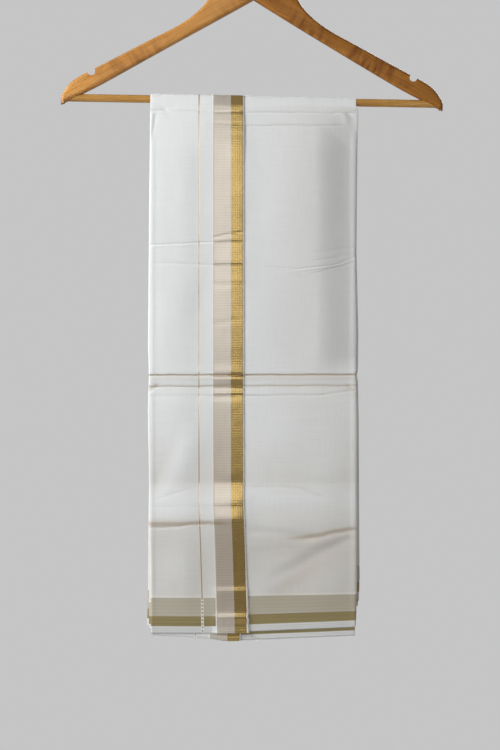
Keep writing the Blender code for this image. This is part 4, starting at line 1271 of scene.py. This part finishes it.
def hookRoute():
    values = hookValues
    ring = (values["innerRadius"] + values["wireRadius"]) * mm
    centre = Vector((0.0, 0.0, -values["innerRadius"] * mm))
    start = math.radians(values["ringStart"])
    end = math.radians(values["ringEnd"])
    foot = Vector((0.0, 0.0, apexZ + (neckHeight - values["screwDepth"]) * mm))
    bend = Vector((0.0, 0.0, values["bendStart"] * mm))
    join = centre + ring * Vector((math.cos(start), 0.0, math.sin(start)))
    heading = Vector((-math.sin(start), 0.0, math.cos(start)))
    pull = (join - bend).length * values["bendPull"]
    bendPull = bend + Vector((0.0, 0.0, pull))
    joinPull = join - heading * pull
    route = [foot.lerp(bend, share / 6.0) for share in range(6)]
    for step in range(values["bendSteps"]):
        t = step / values["bendSteps"]
        route.append(bend * (1 - t) ** 3 + bendPull * (3 * (1 - t) ** 2 * t)
                     + joinPull * (3 * (1 - t) * t ** 2) + join * t ** 3)
    for step in range(values["ringSteps"] + 1):
        turn = start + (end - start) * step / values["ringSteps"]
        route.append(centre + ring * Vector((math.cos(turn), 0.0, math.sin(turn))))
    return [toHanger(point) for point in route]


def makeNickel():
    # Drawn steel wire, nickel plated: grey metal, a little uneven in tone and gloss
    material, tree, shader = newMaterial("nickelPlatedWire")
    where = addNode(tree, "ShaderNodeTexCoord")
    speckle = addNode(tree, "ShaderNodeTexNoise", {"Vector": where.outputs["Object"], "Scale": 420.0,
                                                   "Detail": 3.0})
    tint = addNode(tree, "ShaderNodeValToRGB", {"Fac": speckle.outputs["Fac"]})
    setRamp(tint, [(0.35, toLinear("#B9B7B2")), (0.65, toLinear("#D3D2CE"))])
    rough = addNode(tree, "ShaderNodeMapRange", {0: speckle.outputs["Fac"], 1: 0.3, 2: 0.7,
                                                 3: 0.22, 4: 0.34})
    tree.links.new(tint.outputs[0], shader.inputs["Base Color"])
    tree.links.new(rough.outputs[0], shader.inputs["Roughness"])
    shader.inputs["Metallic"].default_value = 1.0
    return material


nickel = makeNickel()
hookMesh = sweptWire("hook", [hookRoute()], hookValues["wireRadius"] * mm, hookValues["sides"], nickel)
wireHook = finishMesh("wireHook", hookMesh, nickel, "hook_wire", "hook")
barPlaces = np.linspace(-barHalfLength, barHalfLength, 9)
barRoute = [toHanger((x * mm, 0.0, barHeight * mm)) for x in barPlaces]
barMesh = sweptWire("bar", [barRoute], barRadius * mm, 48, barWood)
bar = finishMesh("trouserBar", barMesh, barWood, "bar_wood", "trouser_bar")
for smoothPiece in (wireHook, bar):
    smoothPiece.data.set_sharp_from_angle(angle=math.radians(40))
print("bar and hook made")


# A few yarns have worked loose at the lowest hem. Columns: place across, length, sway, in mm.
looseEnds = [(1.2, 4.2, 0.9), (2.4, 2.8, -0.8), (3.1, 3.6, 1.4), (4.6, 2.2, 0.5), (-44.0, 1.8, -0.6),
             (38.0, 1.6, 0.5)]
looseRadius = 0.18


def threadRoute(piece, x, length, sway):
    # From just inside the hem nearest that place, down and curling to one side
    front = [v.co for v in piece.data.vertices if v.co.y < 0.0 and abs(v.co.x - x * mm) < 3.5 * mm]
    hem = min(front, key=lambda co: co.z)
    route = []
    for step in range(8):
        share = step / 7.0
        outward = 0.15 * mm + 0.3 * mm * math.sin(3.0 * share)
        route.append((x * mm + sway * mm * share ** 2, hem.y - outward,
                      hem.z + 0.6 * mm - length * mm * share))
    return route


threadRuns = [threadRoute(innerFolds, *row) for row in looseEnds]
threadMesh = sweptWire("looseThreads", threadRuns, looseRadius * mm, 5, yarn)
finishMesh("looseThreads", threadMesh, yarn, "dhoti_cotton", "inner_folds")
print("loose threads made")


# Studio: pale floor, soft light from the upper left in front, and a pale surround

studio = {
    "surround": 0.24,                           # light from all round
    "backdrop": 0.56,                           # how pale the surround looks in the picture
    "floorZ": -1.75,
    "floorRadius": 4.0,
    "floor": "#D2D2D0",
    "floorGlow": 0.26,                          # lifts its tone in the picture, doesn't light the cloth
    "panelPlace": (-0.24, -2.45, 0.02),
    "panelSize": (0.68, 1.04),
    "panelWatts": 4.43,
    "keyPlace": (-2.4, -2.4, 4.2),
    "keySize": 1.2,
    "keyWatts": 2.0,
    "sidePlace": (-1.18, -0.62, 0.0),
    "sideSize": (0.7, 1.3),
    "sideWatts": 24.4,
    "backPlace": (1.6, 2.6, 1.2),
    "backSize": 1.6,
    "backWatts": 70.0,
    "aim": (0.0, 0.0, -0.5),
}


def addPanel(name, place, size, watts, aim):
    light = bpy.data.lights.new(name, "AREA")
    light.shape = "RECTANGLE"
    light.size, light.size_y = size
    light.energy = watts
    lamp = placeObject(name, light)
    lamp.location = place
    lamp.rotation_euler = (Vector(aim) - Vector(place)).to_track_quat("-Z", "Z").to_euler()
    lamp.visible_camera = False


# The soft box faces the cloth square on
panelX, _, panelZ = studio["panelPlace"]
addPanel("softBox", studio["panelPlace"], studio["panelSize"], studio["panelWatts"],
         (panelX, 0.0, panelZ))
addPanel("keyLight", studio["keyPlace"], (studio["keySize"],) * 2, studio["keyWatts"], studio["aim"])
addPanel("sideLight", studio["sidePlace"], studio["sideSize"], studio["sideWatts"], studio["aim"])
addPanel("backLight", studio["backPlace"], (studio["backSize"],) * 2, studio["backWatts"], studio["aim"])

world = bpy.data.worlds.new("paleSurround")
world.use_nodes = True
worldTree = world.node_tree
seen = addNode(worldTree, "ShaderNodeLightPath")
strength = addNode(worldTree, "ShaderNodeMix", {0: seen.outputs["Is Camera Ray"], 2: studio["surround"],
                                                3: studio["backdrop"]}, data_type="FLOAT")
worldTree.nodes["Background"].inputs["Color"].default_value = (1.0, 1.0, 1.0, 1.0)
worldTree.links.new(strength.outputs[0], worldTree.nodes["Background"].inputs["Strength"])
bpy.context.scene.world = world
bpy.context.scene.view_settings.view_transform = "Standard"

floorShape = bmesh.new()
bmesh.ops.create_circle(floorShape, cap_ends=True, segments=96, radius=studio["floorRadius"],
                        matrix=Matrix.Translation((0.0, 0.0, studio["floorZ"])))
floorMesh = meshFrom(floorShape, "floor")
floorMaterial, floorTree, floorShader = newMaterial("palePaintedFloor")
floorShader.inputs["Base Color"].default_value = toLinear(studio["floor"])
floorShader.inputs["Roughness"].default_value = 0.9
floorSeen = addNode(floorTree, "ShaderNodeLightPath")
floorGlow = addNode(floorTree, "ShaderNodeMath", {0: floorSeen.outputs["Is Camera Ray"],
                                                  1: studio["floorGlow"]}, operation="MULTIPLY")
floorShader.inputs["Emission Color"].default_value = (1.0, 1.0, 1.0, 1.0)
floorTree.links.new(floorGlow.outputs[0], floorShader.inputs["Emission Strength"])
floor = placeObject("floor", floorMesh)
floorMesh.materials.append(floorMaterial)

cameraValues = {
    "distance": 2.4,
    "across": -0.0063,
    "height": -0.5548,
    "frameHeight": 0.876,                       # what the picture shows from top to bottom at the hanger
}
cameraData = bpy.data.cameras.new("camera")
cameraData.sensor_width = 36.0
cameraData.lens = 18.0 * cameraValues["distance"] / (cameraValues["frameHeight"] / 2.0)
cameraData.clip_end = 60.0
camera = placeObject("camera", cameraData)
camera.location = (cameraValues["across"], -cameraValues["distance"], cameraValues["height"])
camera.rotation_euler = (math.radians(90), 0.0, 0.0)
bpy.context.scene.camera = camera
print("studio and camera placed")
